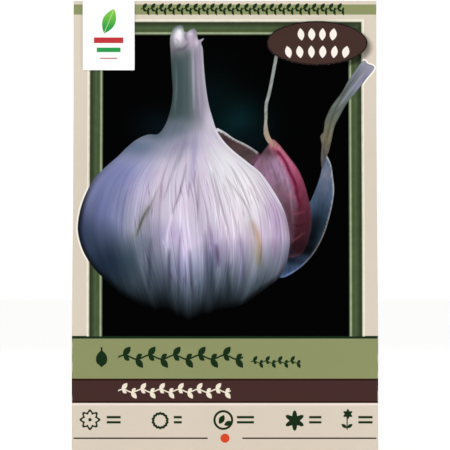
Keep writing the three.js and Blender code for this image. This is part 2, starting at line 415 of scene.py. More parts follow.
GLOW_WASHES = [
    ((6, 38, 42), (3.9, 115.9), (9.2, 8.5), 0.9),
    ((3, 16, 18), (-3.9, 123.7), (7.1, 10.6), 0.8),
    ((4, 16, 22), (-22.9, 114.5), (7.8, 5.6), 0.8),
    ((4, 14, 20), (8.8, 109.5), (7.1, 4.9), 0.8),
]

# Brush strokes: (points, half width, colour, strength). On the skin, ridges are paler, and
# creases, stains and the gaps between cloves are darker.
SKIN_STROKES = [
    ([(-5.9, 103.0), (-2.4, 88.5), (1.2, 74.0), (2.9, 55.2)], 0.32, (246, 242, 250), 0.85),
    ([(-4.6, 99.0), (-1.6, 88.0), (0.5, 79.0)], 0.25, (104, 88, 116), 0.65),
    ([(-13.7, 101.6), (-14.8, 95.6), (-16.6, 88.9), (-18.9, 83.0)], 0.3, (118, 100, 118), 0.6),
    ([(-17.2, 87.6), (-19.2, 81.5), (-20.4, 75.0), (-20.8, 64.0)], 0.42, (232, 224, 242), 0.7),
    ([(-16.9, 87.4), (-14.9, 80.7), (-13.8, 71.0), (-13.4, 60.0)], 0.45, (230, 222, 242), 0.6),
    ([(-24.6, 90.0), (-28.4, 83.0), (-30.4, 78.6), (-33.0, 72.0)], 1.4, (140, 144, 134), 0.5),
    ([(-26.6, 86.6), (-28.9, 82.2), (-30.2, 78.8), (-31.2, 75.4)], 0.34, (62, 66, 54), 0.8),
    ([(-22.6, 94.5), (-25.6, 88.0), (-28.2, 81.5)], 0.25, (104, 92, 108), 0.6),
    ([(-3.2, 73.2), (-2.7, 69.5), (-2.3, 64.5)], 0.8, (104, 76, 118), 0.75),
    ([(-19.6, 71.5), (-19.7, 66.0), (-19.4, 55.0)], 0.55, (62, 62, 86), 0.6),
    ([(-22.2, 75.0), (-22.4, 66.0), (-22.6, 55.0)], 0.6, (190, 178, 212), 0.5),
    ([(-10.6, 73.0), (-10.0, 64.0), (-9.0, 52.0)], 0.8, (206, 206, 226), 0.6),
    ([(-12.4, 71.0), (-12.0, 64.0), (-11.4, 53.0)], 0.5, (66, 66, 90), 0.5),
    ([(-7.0, 78.0), (-6.4, 68.0), (-6.0, 54.0)], 0.55, (92, 84, 116), 0.5),
    ([(-15.9, 79.0), (-16.2, 68.0), (-16.4, 54.0)], 0.5, (96, 88, 118), 0.5),
    ([(-26.4, 75.0), (-26.6, 66.0), (-26.6, 56.0)], 0.7, (80, 92, 108), 0.6),
    ([(-37.6, 92.0), (-39.8, 82.0), (-40.0, 71.0)], 0.9, (146, 148, 190), 0.35),
    ([(-34.4, 93.0), (-36.2, 84.0), (-36.4, 73.0)], 0.6, (84, 94, 128), 0.4),
    ([(-21.0, 103.6), (-23.6, 94.4), (-27.0, 86.0)], 1.5, (220, 206, 222), 0.55),
    ([(-17.4, 103.0), (-19.6, 95.0), (-21.8, 88.0)], 0.22, (122, 110, 128), 0.5),
    ([(-10.4, 114.0), (-11.0, 104.0), (-12.2, 92.0)], 1.1, (160, 148, 190), 0.55),
    ([(-8.2, 111.0), (-7.6, 101.0), (-6.8, 90.0), (-5.4, 76.0)], 0.9, (212, 196, 222), 0.5),
    ([(-13.9, 111.0), (-16.0, 104.0), (-18.4, 98.0)], 0.7, (118, 128, 132), 0.5),
    ([(-9.6, 97.0), (-9.4, 88.0), (-9.8, 80.0)], 0.25, (124, 106, 128), 0.55),
    ([(-0.3, 97.0), (5.0, 90.2), (8.6, 83.6), (11.0, 72.0)], 0.25, (140, 130, 146), 0.6),
    ([(1.9, 100.9), (6.5, 92.2), (9.7, 84.0)], 0.2, (150, 142, 156), 0.6),
    ([(4.0, 102.2), (9.5, 94.4), (13.6, 85.6)], 0.2, (156, 146, 162), 0.55),
    ([(-1.2, 93.0), (2.4, 85.0), (4.6, 76.0)], 0.2, (158, 148, 166), 0.5),
    ([(9.4, 81.5), (11.7, 74.6), (12.8, 64.5)], 1.0, (180, 152, 118), 0.75),
    ([(13.2, 80.0), (14.2, 73.0), (14.4, 64.0)], 0.7, (214, 196, 226), 0.5),
    ([(5.2, 77.0), (6.2, 68.0), (6.6, 58.0)], 0.6, (116, 98, 136), 0.5),
    ([(8.2, 76.0), (8.8, 68.0), (9.2, 58.0)], 0.6, (204, 190, 206), 0.5),
    ([(16.6, 89.0), (18.2, 78.0), (17.0, 66.0)], 1.3, (182, 152, 200), 0.55),
    ([(20.4, 83.0), (21.0, 75.0), (19.4, 66.0)], 0.5, (216, 196, 226), 0.5),
    ([(-4.9, 71.0), (-4.6, 62.0), (-4.0, 50.0)], 1.2, (64, 76, 96), 0.65),
    ([(0.8, 67.0), (1.2, 59.0), (1.2, 51.0)], 0.9, (80, 88, 112), 0.5),
    ([(-14.6, 73.0), (-14.8, 62.0), (-13.8, 48.0)], 0.9, (226, 208, 250), 0.6),
    ([(-9.6, 71.0), (-9.2, 60.0), (-8.6, 48.5)], 0.8, (216, 214, 242), 0.5),
    ([(5.2, 73.0), (5.2, 62.0), (4.6, 53.0)], 0.9, (226, 206, 246), 0.6),
    ([(10.6, 70.0), (10.6, 61.0), (9.6, 55.0)], 0.7, (212, 208, 232), 0.45),
    ([(-24.0, 72.0), (-24.6, 63.0), (-24.4, 52.0)], 0.8, (176, 178, 208), 0.4),
]
STEM_STROKES = [
    ([(-18.8, 140.4), (-16.8, 141.6), (-14.6, 142.0), (-12.6, 144.4)], 0.4, (92, 84, 96), 0.8),
    ([(-13.6, 148.0), (-14.0, 146.2), (-13.0, 144.6)], 0.3, (120, 104, 120), 0.8),
    ([(-17.8, 146.0), (-16.6, 144.6), (-16.9, 143.2)], 0.25, (150, 134, 150), 0.7),
    ([(-11.4, 144.2), (-11.2, 134.0), (-11.0, 120.0)], 0.35, (188, 190, 202), 0.6),
    ([(-13.4, 142.0), (-13.6, 130.0), (-13.2, 116.0)], 0.35, (66, 78, 84), 0.5),
    ([(-9.8, 143.0), (-9.4, 130.0), (-8.4, 117.0)], 0.45, (176, 160, 182), 0.6),
    ([(-17.4, 138.0), (-17.2, 128.0), (-18.0, 118.0)], 0.4, (104, 122, 122), 0.5),
]
CLOVE_STROKES = [
    ([(16.6, 107.2), (17.8, 105.2), (19.2, 103.6)], 0.7, (84, 42, 52), 0.75),
    ([(30.6, 84.0), (30.4, 79.0), (29.2, 73.6)], 0.9, (44, 28, 34), 0.7),
    ([(17.4, 106.0), (20.0, 101.0), (22.2, 94.8), (23.4, 88.0), (24.0, 79.0)], 0.32,
     (190, 146, 170), 0.55),
    ([(15.0, 104.0), (17.6, 97.6), (20.0, 90.0)], 0.3, (104, 78, 98), 0.55),
    ([(17.0, 104.0), (19.6, 98.0), (21.2, 92.0)], 0.25, (182, 150, 178), 0.5),
    ([(21.0, 91.0), (23.2, 89.6), (26.8, 89.4)], 0.35, (170, 96, 116), 0.6),
    ([(22.8, 85.0), (24.6, 83.6), (28.8, 84.4)], 0.35, (134, 66, 82), 0.6),
    ([(23.0, 73.4), (25.4, 75.0), (28.4, 77.2)], 0.35, (112, 58, 70), 0.6),
    ([(23.6, 80.0), (26.0, 79.2), (28.6, 80.6)], 0.3, (40, 18, 26), 0.6),
    ([(29.2, 96.0), (29.9, 90.0), (30.4, 84.0)], 0.35, (170, 104, 126), 0.45),
]
STRAP_STROKES = [
    ([(45.2, 132.6), (41.8, 127.0), (38.8, 122.0)], 0.7, (92, 102, 92), 0.6),
    ([(52.0, 135.4), (48.4, 130.6), (45.2, 126.6)], 0.7, (142, 137, 172), 0.65),
    ([(48.8, 136.4), (45.6, 131.4), (42.0, 126.0), (39.2, 121.0), (37.4, 116.0)], 0.22,
     (58, 64, 58), 0.6),
    ([(50.6, 135.6), (47.2, 131.0), (43.6, 126.2), (40.6, 121.4)], 0.18, (168, 168, 188), 0.5),
    ([(38.6, 118.8), (36.6, 113.0), (36.0, 107.0)], 0.25, (60, 58, 48), 0.55),
    ([(39.8, 119.6), (37.8, 114.0), (36.9, 109.0)], 0.3, (140, 138, 120), 0.5),
    ([(35.2, 111.0), (35.0, 106.0), (35.0, 102.0)], 0.25, (60, 52, 50), 0.5),
]

# Colours along a line: (share of the way, colour).
STEM_ACROSS = [
    (0.0, (60, 76, 76)), (0.2, (52, 70, 72)), (0.45, (72, 86, 88)), (0.56, (88, 100, 104)),
    (0.62, (110, 118, 126)), (0.75, (122, 120, 136)), (0.88, (154, 148, 164)),
    (0.95, (180, 176, 192)), (1.0, (200, 204, 210)),
]
STRAP_ALONG = [
    (0.0, (84, 80, 77)), (0.14, (98, 92, 85)), (0.28, (112, 107, 86)),
    (0.45, (92, 98, 85)), (0.62, (100, 108, 108)), (0.8, (118, 122, 132)),
    (1.0, (144, 144, 160)),
]
RIDGE_ALONG = [
    (0.0, (186, 108, 132)), (0.25, (184, 98, 130)), (0.45, (138, 62, 88)), (0.6, (104, 46, 64)),
    (0.78, (72, 30, 42)), (1.0, (40, 18, 24)),
]
TIP_ALONG = [
    (0.0, (140, 148, 146)), (0.5, (150, 152, 146)), (0.8, (160, 146, 128)),
    (1.0, (170, 120, 110)),
]
RIM_ALONG = [
    (0.0, (176, 180, 188)), (0.35, (160, 162, 168)), (0.6, (124, 118, 114)),
    (0.8, (104, 106, 114)), (1.0, (96, 120, 172)),
]
FLAP_RIM_ALONG = [(0.0, (205, 208, 214)), (1.0, (150, 146, 148))]
# The dry tip's half width: (share of the way, millimetres).
TIP_HALF_WIDTHS = [(0.0, 0.56), (0.3, 0.56), (0.6, 0.5), (0.75, 0.9), (0.9, 0.9), (1.0, 0.5)]

# Plain colours that the picture is laid on, and those of its thin edges.
SKIN_GROUND = (200, 191, 210)
CLOVE_GROUND = (148, 110, 140)
LOOSE_SKIN_GROUND = (70, 92, 120)
FLAP_GROUND = (82, 62, 62)
PALE_RIM = (236, 236, 244)
CREASE_RED = (98, 18, 46)
CLOVE_OUTLINE = (60, 30, 40)
STRAP_OUTLINE = (40, 42, 48)

# The bulb's light: the heights over which its stem, its body and its lower body set in, where
# the shade from the roots begins and how far up it reaches, how much red, green and blue the
# shade loses, and the lobe over which it hangs lower (middle, reach, drop).
STEM_START = (108.8, 119.4)
BODY_TOP = (108, 84)
LOWER_BODY = (88, 66)
SHADE_FOOT = 49.6
SHADE_REACH = 25.5
SHADE_COOLING = (0.34, 0.05, 0.0)
LOBE_HANG = (-12.5, 6.5, 2.6)

# Waves round the bulb from the cloves under its skin: (count, start, size).
CLOVE_WAVES = [(5.0, 0.4, 0.4), (9.0, 1.2, 0.6), (15.0, 2.6, 0.5), (26.0, 0.5, 0.4), (41.0, 1.9, 0.3)]

# ---- Drawing with arrays --------------------------------------------------------------


def smooth_curve(points, closed, steps=5):
    """Catmull-Rom curve through the points: each stretch is the cubic that leaves and meets its
    points along half the chord between their neighbours. Returns an array of points."""
    p = np.asarray(points, float)
    if closed:
        before, start, end, after = np.roll(p, 1, 0), p, np.roll(p, -1, 0), np.roll(p, -2, 0)
    else:
        q = np.vstack([2 * p[0] - p[1], p, 2 * p[-1] - p[-2]])
        before, start, end, after = q[:-3], q[1:-2], q[2:-1], q[3:]
    before, start, end, after = (v[:, None, :] for v in (before, start, end, after))
    t = (np.arange(steps) / steps)[None, :, None]
    curve = 0.5 * (
        2 * start
        + (end - before) * t
        + (2 * before - 5 * start + 4 * end - after) * t**2
        + (3 * start - before - 3 * end + after) * t**3
    )
    curve = curve.reshape(-1, 2)
    return curve if closed else np.vstack([curve, p[-1]])


def path_distance(x, z, path):
    """Distance from each point to a chain of straight stretches, and how far along the chain
    the nearest place is, from 0 to 1."""
    nearest = np.full(x.shape, np.inf)
    along = np.zeros(x.shape)
    stretches = len(path) - 1
    for i in range(stretches):
        (ax, az), (bx, bz) = path[i], path[i + 1]
        dx, dz = bx - ax, bz - az
        square = max(dx * dx + dz * dz, 1e-9)
        t = np.clip(((x - ax) * dx + (z - az) * dz) / square, 0, 1)
        distance = np.hypot(x - ax - t * dx, z - az - t * dz)
        closer = distance < nearest
        nearest = np.where(closer, distance, nearest)
        along = np.where(closer, (i + t) / stretches, along)
    return nearest, along


def depth_inside(x, z, points):
    """Distance to a smooth closed outline, positive inside it and negative outside. A point is
    inside if a level ray from it crosses the outline an odd number of times."""
    loop = smooth_curve(points, True)
    loop = np.vstack([loop, loop[:1]])
    distance, _ = path_distance(x, z, loop)
    within = np.zeros(x.shape, bool)
    for (ax, az), (bx, bz) in zip(loop[:-1], loop[1:]):
        if az != bz:
            within ^= ((az > z) != (bz > z)) & (x < (bx - ax) * (z - az) / (bz - az) + ax)
    return np.where(within, distance, -distance)


def ease(value, low, high):
    """0 at low and 1 at high, along a smooth S."""
    t = np.clip((value - low) / (high - low), 0, 1)
    return t * t * (3 - 2 * t)


def laid_over(colour, top, cover):
    """The colour with another laid over it, by a cover from 0 to 1. A plain colour is given
    as seen, from 0 to 255."""
    top = np.array(top) / 255 if isinstance(top, tuple) else top
    return colour + (top - colour) * cover[..., None]


def wash(colour, x, z, tint, centre, reach, strength):
    """Lays a tint over the colour, strongest at a centre and fading as a bell curve."""
    across = (x - centre[0]) / reach[0]
    up = (z - centre[1]) / reach[1]
    cover = strength * np.exp(-(across**2 + up**2))
    return laid_over(colour, tint, cover)


def washed_over(colour, x, z, washes):
    """Lays a list of washes over a colour, in order."""
    for tint, centre, reach, strength in washes:
        colour = wash(colour, x, z, tint, centre, reach, strength)
    return colour


def washed(x, z, ground, washes):
    """A plain ground colour with a list of washes over it."""
    colour = np.ones(x.shape + (3,)) * np.array(ground) / 255
    return washed_over(colour, x, z, washes)


def stroked(colour, x, z, strokes):
    """Lays brush strokes on: each fades out sideways as a bell curve and towards both ends of
    its path."""
    for points, half_width, tint, strength in strokes:
        distance, along = path_distance(x, z, smooth_curve(points, False))
        taper = np.sin(np.pi * np.clip(along, 0, 1)) ** 0.6
        cover = np.exp(-((distance / (0.9 * half_width + 0.1)) ** 2))
        colour = laid_over(colour, tint, strength * cover * taper)
    return colour


def blended(share, stops):
    """The colour at each share of the way through a list of (share, colour) stops."""
    places = [place for place, _ in stops]
    colours = np.array([colour for _, colour in stops]) / 255
    return np.stack([np.interp(share, places, colours[:, k]) for k in range(3)], -1)


def linear(colour):
    """Colours as seen, turned into amounts of light by the sRGB curve."""
    c = np.clip(np.asarray(colour, float), 0, 1)
    return np.where(c <= 0.04045, c / 12.92, ((c + 0.055) / 1.055) ** 2.4)


# ---- The picture of the bulb ----------------------------------------------------------


def skin_share(x, z):
    """How far across the bulb a point lies at its height: 0 at the left outline, 1 at the
    right."""
    left = smooth_curve(FLOW_LEFT, False)
    right = smooth_curve(FLOW_RIGHT, False)
    left_x = np.interp(z, left[:, 1], left[:, 0])
    right_x = np.interp(z, right[:, 1], right[:, 0])
    return np.clip((x - left_x) / (right_x - left_x), 0.001, 0.999)


def skin_turn(x, z):
    """The angle round the bulb at which a point of its skin lies, from -90 to 90 degrees in
    radians: the arc sine of how far it stands to the side of the middle."""
    return np.arcsin(2 * skin_share(x, z) - 1)


def clove_shading(turn):
    """Light and dark round the bulb from the cloves under the skin: waves of unlike length
    added up and brought within 1."""
    total = sum(size for _, _, size in CLOVE_WAVES)
    return sum(size * np.sin(count * turn + start) for count, start, size in CLOVE_WAVES) / total


def bulb_tint(x, z):
    """Colours of the pictured bulb: washes over a lilac ground, the stem's own colours across
    it, strokes, and a fall-off into cool shade towards the roots and the left edge."""
    colour = washed(x, z, SKIN_GROUND, BULB_WASHES)
    ribs = clove_shading(skin_turn(x, z))
    stem = ease(z, *STEM_START)
    colour = laid_over(colour, blended(skin_share(x, z), STEM_ACROSS), 0.95 * stem)
    body = (1 - stem) * ease(z, *BODY_TOP)
    below = ease(z, *LOWER_BODY)
    colour = colour * (1 + (0.08 + 0.1 * below) * ribs * body)[..., None]
    colour = stroked(colour, x, z, SKIN_STROKES)
    lift = 2.2 * ease(x, -22, -32) + 6 * ease(x, -32, -42)
    middle, reach, drop = LOBE_HANG
    hang = drop * np.exp(-(((x - middle) / reach) ** 2))
    rise = z - SHADE_FOOT - lift + (hang + 1.6 * ribs) * below
    shade = (np.clip(rise / SHADE_REACH, 0, 1) ** 0.8)[..., None]
    colour = colour * shade * (1 - (1 - shade) * np.array(SHADE_COOLING))
    colour = washed_over(colour, x, z, BULB_SHADOWS)
    depth = depth_inside(x, z, BULB_LEFT + BULB_RIGHT)
    on_left = ease(x, -10, -24) * ease(z, 104, 84)
    at_foot = ease(z, 70, 58) * ease(x, -6, 10)
    edge = np.clip(0.1 + 0.55 * on_left + 0.6 * at_foot, 0, 1) * ease(depth, 2.2, 0.0)
    colour = colour * (1 - edge)[..., None]
    rim = ease(depth, 0.95, 0.35) * ease(x, -8, -3) * ease(z, 78, 90) * ease(z, 118, 112)
    colour = laid_over(colour, PALE_RIM, 0.7 * rim)
    colour = washed_over(colour, x, z, STEM_WASHES)
    return stroked(colour, x, z, STEM_STROKES)


def clove_tint(x, z, depth):
    """Colours of the bare clove: washes, a pink ridge down its side, a dark crease in it and
    a darker outline."""
    colour = washed(x, z, CLOVE_GROUND, CLOVE_WASHES)
    distance, along = path_distance(x, z, smooth_curve(CLOVE_RIDGE, False))
    colour = laid_over(colour, blended(along, RIDGE_ALONG), ease(2.5 - distance, -0.9, 0.7))
    colour = stroked(colour, x, z, CLOVE_STROKES)
    distance, along = path_distance(x, z, smooth_curve(CLOVE_CREASE, False))
    crease = 0.85 * ease(0.5 - distance, -0.2, 0.2) * ease(along, 1.0, 0.7)
    colour = laid_over(colour, CREASE_RED, crease)
    return laid_over(colour, CLOVE_OUTLINE, 0.5 * ease(depth, 0.5, 0.0))


def loose_skin_tint(x, z):
    """Colours of the cupped skin at the right: washes and a pale rim along its outer edge."""
    colour = washed(x, z, LOOSE_SKIN_GROUND, LOOSE_SKIN_WASHES)
    distance, along = path_distance(x, z, smooth_curve(LOOSE_SKIN_RIM, False))
    return laid_over(colour, blended(along, RIM_ALONG), 0.95 * ease(0.4 - distance, -0.1, 0.12))


def strap_tint(x, z, depth):
    """Colours of the dry strap: a run of colours along it, strokes, and darker edges."""
    _, along = path_distance(x, z, smooth_curve(STRAP_MIDDLE, False))
    colour = stroked(blended(along, STRAP_ALONG), x, z, STRAP_STROKES)
    return laid_over(colour, STRAP_OUTLINE, 0.35 * ease(depth, 0.3, 0.05))


def skin_flap_tint(x, z):
    """Colours of the brown flap behind the bulb, with its pale rim."""
    colour = washed(x, z, FLAP_GROUND, FLAP_WASHES)
    distance, along = path_distance(x, z, smooth_curve(SKIN_FLAP_RIM, False))
    return laid_over(colour, blended(along, FLAP_RIM_ALONG), ease(0.55 - distance, -0.1, 0.1))


def picture_layers(x, z):
    """Everything that the front's mesh carries for its shader, at each point: the colours of
    the bulb, of what stands behind it and of the panel, the depths inside the first two, and
    how the skin's streaks run. The way along the strap keeps the streaks from repeating."""
    bulb_depth = depth_inside(x, z, BULB_LEFT + BULB_RIGHT)
    flap_depth = depth_inside(x, z, SKIN_FLAP)
    skin_depth = depth_inside(x, z, LOOSE_SKIN)
    strap_depth = depth_inside(x, z, STRAP)
    clove_depth = depth_inside(x, z, CLOVE)
    tip_distance, tip_along = path_distance(x, z, smooth_curve(CLOVE_TIP, False))
    tip_depth = np.interp(tip_along, *zip(*TIP_HALF_WIDTHS)) - tip_distance
    behind = skin_flap_tint(x, z)
    layers = (
        (loose_skin_tint(x, z), skin_depth, flap_depth),
        (strap_tint(x, z, strap_depth), strap_depth, np.maximum(flap_depth, skin_depth)),
        (clove_tint(x, z, clove_depth), clove_depth, np.maximum(strap_depth, skin_depth)),
        (blended(tip_along, TIP_ALONG), tip_depth, clove_depth),
    )
    for colour, depth, under in layers:
        reach = np.where(under > -0.3, 0.0, -1.2)
        behind = laid_over(behind, colour, ease(depth - reach, -0.2, 0.2))
    behind_depth = np.max([flap_depth, skin_depth, strap_depth, clove_depth, tip_depth], 0)
    _, strap_along = path_distance(x, z, smooth_curve(STRAP_MIDDLE, False))
    return {
        "bulb_colour": bulb_tint(x, z),
        "behind_colour": behind,
        "panel_colour": washed(x, z, (0, 0, 0), GLOW_WASHES),
        "picture_edges": np.stack([bulb_depth, behind_depth, 0 * bulb_depth], -1),
        "skin_flow": np.stack([skin_turn(x, z), z / 10, strap_along], -1),
    }


# ---- Paper surfaces -------------------------------------------------------------------


def fold_angle(z):
    """How far the side panels have turned inwards at a height: nearly flat round the bulbs,
    almost shut at the pinched top, with an S between."""
    return BASE_ANGLE + (PINCH_ANGLE - BASE_ANGLE) * ease(z, FULL_DEPTH_HEIGHT, PINCH_HEIGHT)


def sharp_section(s, z):
    """The bag's level outline as if folded from card. s is the way round from the front's
    middle line: half the front, down one half of the side panel to its fold and up the
    other. Negative s goes round the left side."""
    angle = fold_angle(z)
    depth = SIDE_HALF * np.cos(angle)
    reach = SIDE_HALF * np.sin(angle)
    way = np.abs(s)
    down = np.clip((way - HALF_WIDTH) / SIDE_HALF, 0, 1)
    up = np.clip((way - HALF_WIDTH - SIDE_HALF) / SIDE_HALF, 0, 1)
    back = np.clip(way - HALF_WIDTH - 2 * SIDE_HALF, 0, HALF_WIDTH)
    x = np.minimum(way, HALF_WIDTH) - reach * (down - up) - back
    y = -depth * (1 - down - up)
    return np.sign(s) * x, y


def slow_waves(across, up, waves):
    """Sine waves of unlike length and slant, added up."""
    return sum(size * np.sin(a * across + b * up + start) for a, b, start, size in waves)


def panel_swell(s, z):
    """How far the front stands out from its folded shape: two low bell curves where the bulbs
    press, and slow waves from handling. It dies away towards every fold and edge."""
    way = np.abs(s)
    swell = bpy.context.scene.packet_handling.bulb_swell
    across = (way - PRESS_ACROSS[0]) / PRESS_ACROSS[1]
    up = (z - PRESS_UP[0]) / PRESS_UP[1]
    bulbs = np.exp(-(across**2) - up**2)
    waves = slow_waves(s, z, FRONT_WAVES)
    near_fold = ease(HALF_WIDTH - way, 0.001, 0.014)
    near_end = ease(z, 0.001, 0.012) * ease(HEIGHT - z, 0.0, 0.03)
    return (swell * bulbs + 0.2 * swell * waves) * near_fold * near_end


def side_dent(s, z):
    """How far a side panel bows inwards between its folds: a long hollow and a few slow waves,
    nothing at the folds and at both ends."""
    share = (np.abs(s) - HALF_WIDTH) / SIDE_HALF
    half = np.clip(np.where(share > 1, 2 - share, share), 0, 1)
    waves = slow_waves(share, z, SIDE_WAVES)
    between = np.sin(np.pi * half) ** 2
    near_end = ease(z, 0.001, 0.02) * ease(PINCH_HEIGHT - z, 0.0, 0.05)
    return bpy.context.scene.packet_handling.bulb_swell * (1 + waves) * between * near_end


def paper_surface(s, z):
    """Points of the bag's paper. Folds are rounded by averaging the sharp outline over a short
    way either side, the foot is drawn in along a quarter circle, and the panels bow a
    little."""
    offsets = np.linspace(-1, 1, 7) * CORNER_ROUND
    rounded = [sharp_section(s + offset, z) for offset in offsets]
    x = sum(point[0] for point in rounded) / len(offsets)
    y = sum(point[1] for point in rounded) / len(offsets)
    foot = np.clip(1 - z / CORNER_ROUND, 0, 1)
    drawn_in = CORNER_ROUND * (1 - np.sqrt(1 - foot**2))
    x = x * (1 - drawn_in / HALF_WIDTH) - np.sign(s) * side_dent(s, z)
    y = y * (1 - drawn_in / SIDE_HALF) - panel_swell(s, z)
    return x, y, z


def grid_object(name, x, y, z, inside_out=False):
    """A mesh whose vertices are a grid of points and whose faces are the grid's cells, facing
    the way that its columns turned into its rows point."""
    rows, columns = x.shape
    corners = np.stack([x, y, z], -1).reshape(-1, 3)
    index = np.arange(rows * columns).reshape(rows, columns)
    cells = np.stack([index[:-1, :-1], index[:-1, 1:], index[1:, 1:], index[1:, :-1]], -1)
    cells = cells.reshape(-1, 4)
    if inside_out:
        cells = cells[:, ::-1]
    mesh = bpy.data.meshes.new(name)
    mesh.vertices.add(len(corners))
    mesh.vertices.foreach_set("co", corners.ravel())
    mesh.loops.add(cells.size)
    mesh.loops.foreach_set("vertex_index", cells.ravel())
    mesh.polygons.add(len(cells))
    mesh.polygons.foreach_set("loop_start", np.arange(0, cells.size, 4))
    mesh.polygons.foreach_set("use_smooth", np.ones(len(cells), bool))
    mesh.update(calc_edges=True)
    mesh.validate()
    piece = bpy.data.objects.new(name, mesh)
    bpy.context.scene.collection.objects.link(piece)
    return piece


def add_layers(piece, layers):
    """Stores each named array on the mesh's points: colours as light, the rest as vectors."""
    for name, values in layers.items():
        flat = values.reshape(-1, 3)
        if name.endswith("colour"):
            layer = piece.data.attributes.new(name, "FLOAT_COLOR", "POINT")
            full = np.hstack([linear(flat), np.ones((len(flat), 1))])
            layer.data.foreach_set("color", full.astype(np.float32).ravel())
        else:
            layer = piece.data.attributes.new(name, "FLOAT_VECTOR", "POINT")
            layer.data.foreach_set("vector", flat.astype(np.float32).ravel())


def panel_grid(low, high, columns):
    """The places round the bag and up it where a panel has its points."""
    return np.meshgrid(np.linspace(low, high, columns), np.linspace(0, HEIGHT, PANEL_ROWS))


def fold_distance(s):
    """How far along the paper each point is from the nearest upright outer fold, in
    millimetres."""
    way = np.abs(s)
    distance = np.minimum(np.abs(way - HALF_WIDTH), np.abs(way - HALF_WIDTH - 2 * SIDE_HALF)) * MM
    return {"fold_distance": np.stack([distance, 0 * distance, 0 * distance], -1)}


def end_surface(height, rows, columns):
    """A level surface that fills the bag's outline at a height: each row runs straight from
    the left side panel to the right one, and the rows follow the panels from the front to
    the back."""
    low = HALF_WIDTH - CORNER_ROUND
    high = HALF_WIDTH + 2 * SIDE_HALF + CORNER_ROUND
    s = np.linspace(low, high, rows)
    edge_x, edge_y, _ = paper_surface(s, np.full(rows, height))
    share = np.linspace(-1, 1, columns)
    x = edge_x[:, None] * share[None, :]
    y = np.broadcast_to(edge_y[:, None], x.shape)
    inside = edge_x[:, None] - np.abs(x)
    return x, y, np.full(x.shape, height), inside


def finish_piece(piece, material, replaced):
    """Gives a piece its material, parents it to the root body's empty and hides the CAD part that it
    replaces."""
    piece.data.materials.append(material)
    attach(piece, "root")
    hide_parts(replaced)


# ---- Shader nodes ---------------------------------------------------------------------


def feed(tree, socket, value):
    """Links an output to a socket, or sets the socket's own value."""
    if isinstance(value, bpy.types.NodeSocket):
        tree.links.new(value, socket)
    else:
        socket.default_value = value


def add_node(tree, kind, inputs, **settings):
    """Adds a node, applies its settings and feeds its inputs by name or number."""
    node = tree.nodes.new(kind)
    for name, value in settings.items():
        setattr(node, name, value)
    for key, value in inputs.items():
        feed(tree, node.inputs[key], value)
    return node


def calc(tree, operation, *values):
    """One Math node."""
    inputs = dict(enumerate(values))
    return add_node(tree, "ShaderNodeMath", inputs, operation=operation).outputs[0]


def step_up(tree, value, low, high):
    """A Map Range node: 0 at low and 1 at high, along a smooth S."""
    inputs = {"Value": value, "From Min": low, "From Max": high}
    kind = "SMOOTHSTEP"
    return add_node(tree, "ShaderNodeMapRange", inputs, interpolation_type=kind).outputs["Result"]


def blend(tree, share, first, second, mode="MIX"):
    """A colour Mix node."""
    node = add_node(tree, "ShaderNodeMix", {0: share}, data_type="RGBA", blend_type=mode)
    feed(tree, node.inputs[6], first)
    feed(tree, node.inputs[7], second)
    return node.outputs[2]


def ink(colour):
    """A colour as seen, from 0 to 255, as a shader's colour."""
    return (*(float(v) for v in linear(np.array(colour) / 255)), 1.0)


def ramp(tree, value, stops, low, high):
    """A Color Ramp over a value from low to high, with stops given in the value's own unit."""
    share = add_node(tree, "ShaderNodeMapRange", {"Value": value, "From Min": low, "From Max": high})
    node = add_node(tree, "ShaderNodeValToRGB", {"Fac": share.outputs["Result"]})
    elements = node.color_ramp.elements
    places = [(place - low) / (high - low) for place, _ in stops]
    elements[0].position = places[0]
    elements[1].position = places[-1]
    elements[0].color = ink(stops[0][1])
    elements[1].color = ink(stops[-1][1])
    for place, (_, colour) in zip(places[1:-1], stops[1:-1]):
        elements.new(place).color = ink(colour)
    return node.outputs["Color"]


def noise(tree, vector, scale, stretch, detail=2.0, roughness=0.5):
    """A Noise Texture on a vector stretched by a Mapping node."""
    mapped = add_node(tree, "ShaderNodeMapping", {"Vector": vector, "Scale": stretch})
    inputs = {"Vector": mapped.outputs[0], "Scale": scale, "Detail": detail, "Roughness": roughness}
    return add_node(tree, "ShaderNodeTexNoise", inputs).outputs["Fac"]


def scaled(tree, colour, factor):
    """A colour made lighter or darker."""
    node = add_node(tree, "ShaderNodeVectorMath", {0: colour}, operation="SCALE")
    feed(tree, node.inputs["Scale"], factor)
    return node.outputs[0]


def band(tree, value, low, high, soft=0.08):
    """A mask that is full between two values."""
    rising = step_up(tree, value, low - soft, low + soft)
    falling = step_up(tree, value, high + soft, high - soft)
    return calc(tree, "MULTIPLY", rising, falling)


def largest(tree, masks):
    """The largest of several masks."""
    result = masks[0]
    for mask in masks[1:]:
        result = calc(tree, "MAXIMUM", result, mask)
    return result


MASK = "NodeSocketFloat"
COLOUR = "NodeSocketColor"


def new_group(name, inputs, outputs):
    """A node group with its sockets: inputs are (name, default), outputs are (name, kind). A
    default of three numbers makes a vector, and one of four a colour."""
    group = bpy.data.node_groups.new(name, "ShaderNodeTree")
    for label, default in inputs:
        count = len(default) if isinstance(default, tuple) else 1
        kind = {1: MASK, 3: "NodeSocketVector", 4: COLOUR}[count]
        socket = group.interface.new_socket(label, in_out="INPUT", socket_type=kind)
        socket.default_value = default
    for label, kind in outputs:
        group.interface.new_socket(label, in_out="OUTPUT", socket_type=kind)
    start = group.nodes.new("NodeGroupInput")
    end = group.nodes.new("NodeGroupOutput")
    return group, start.outputs, end.inputs


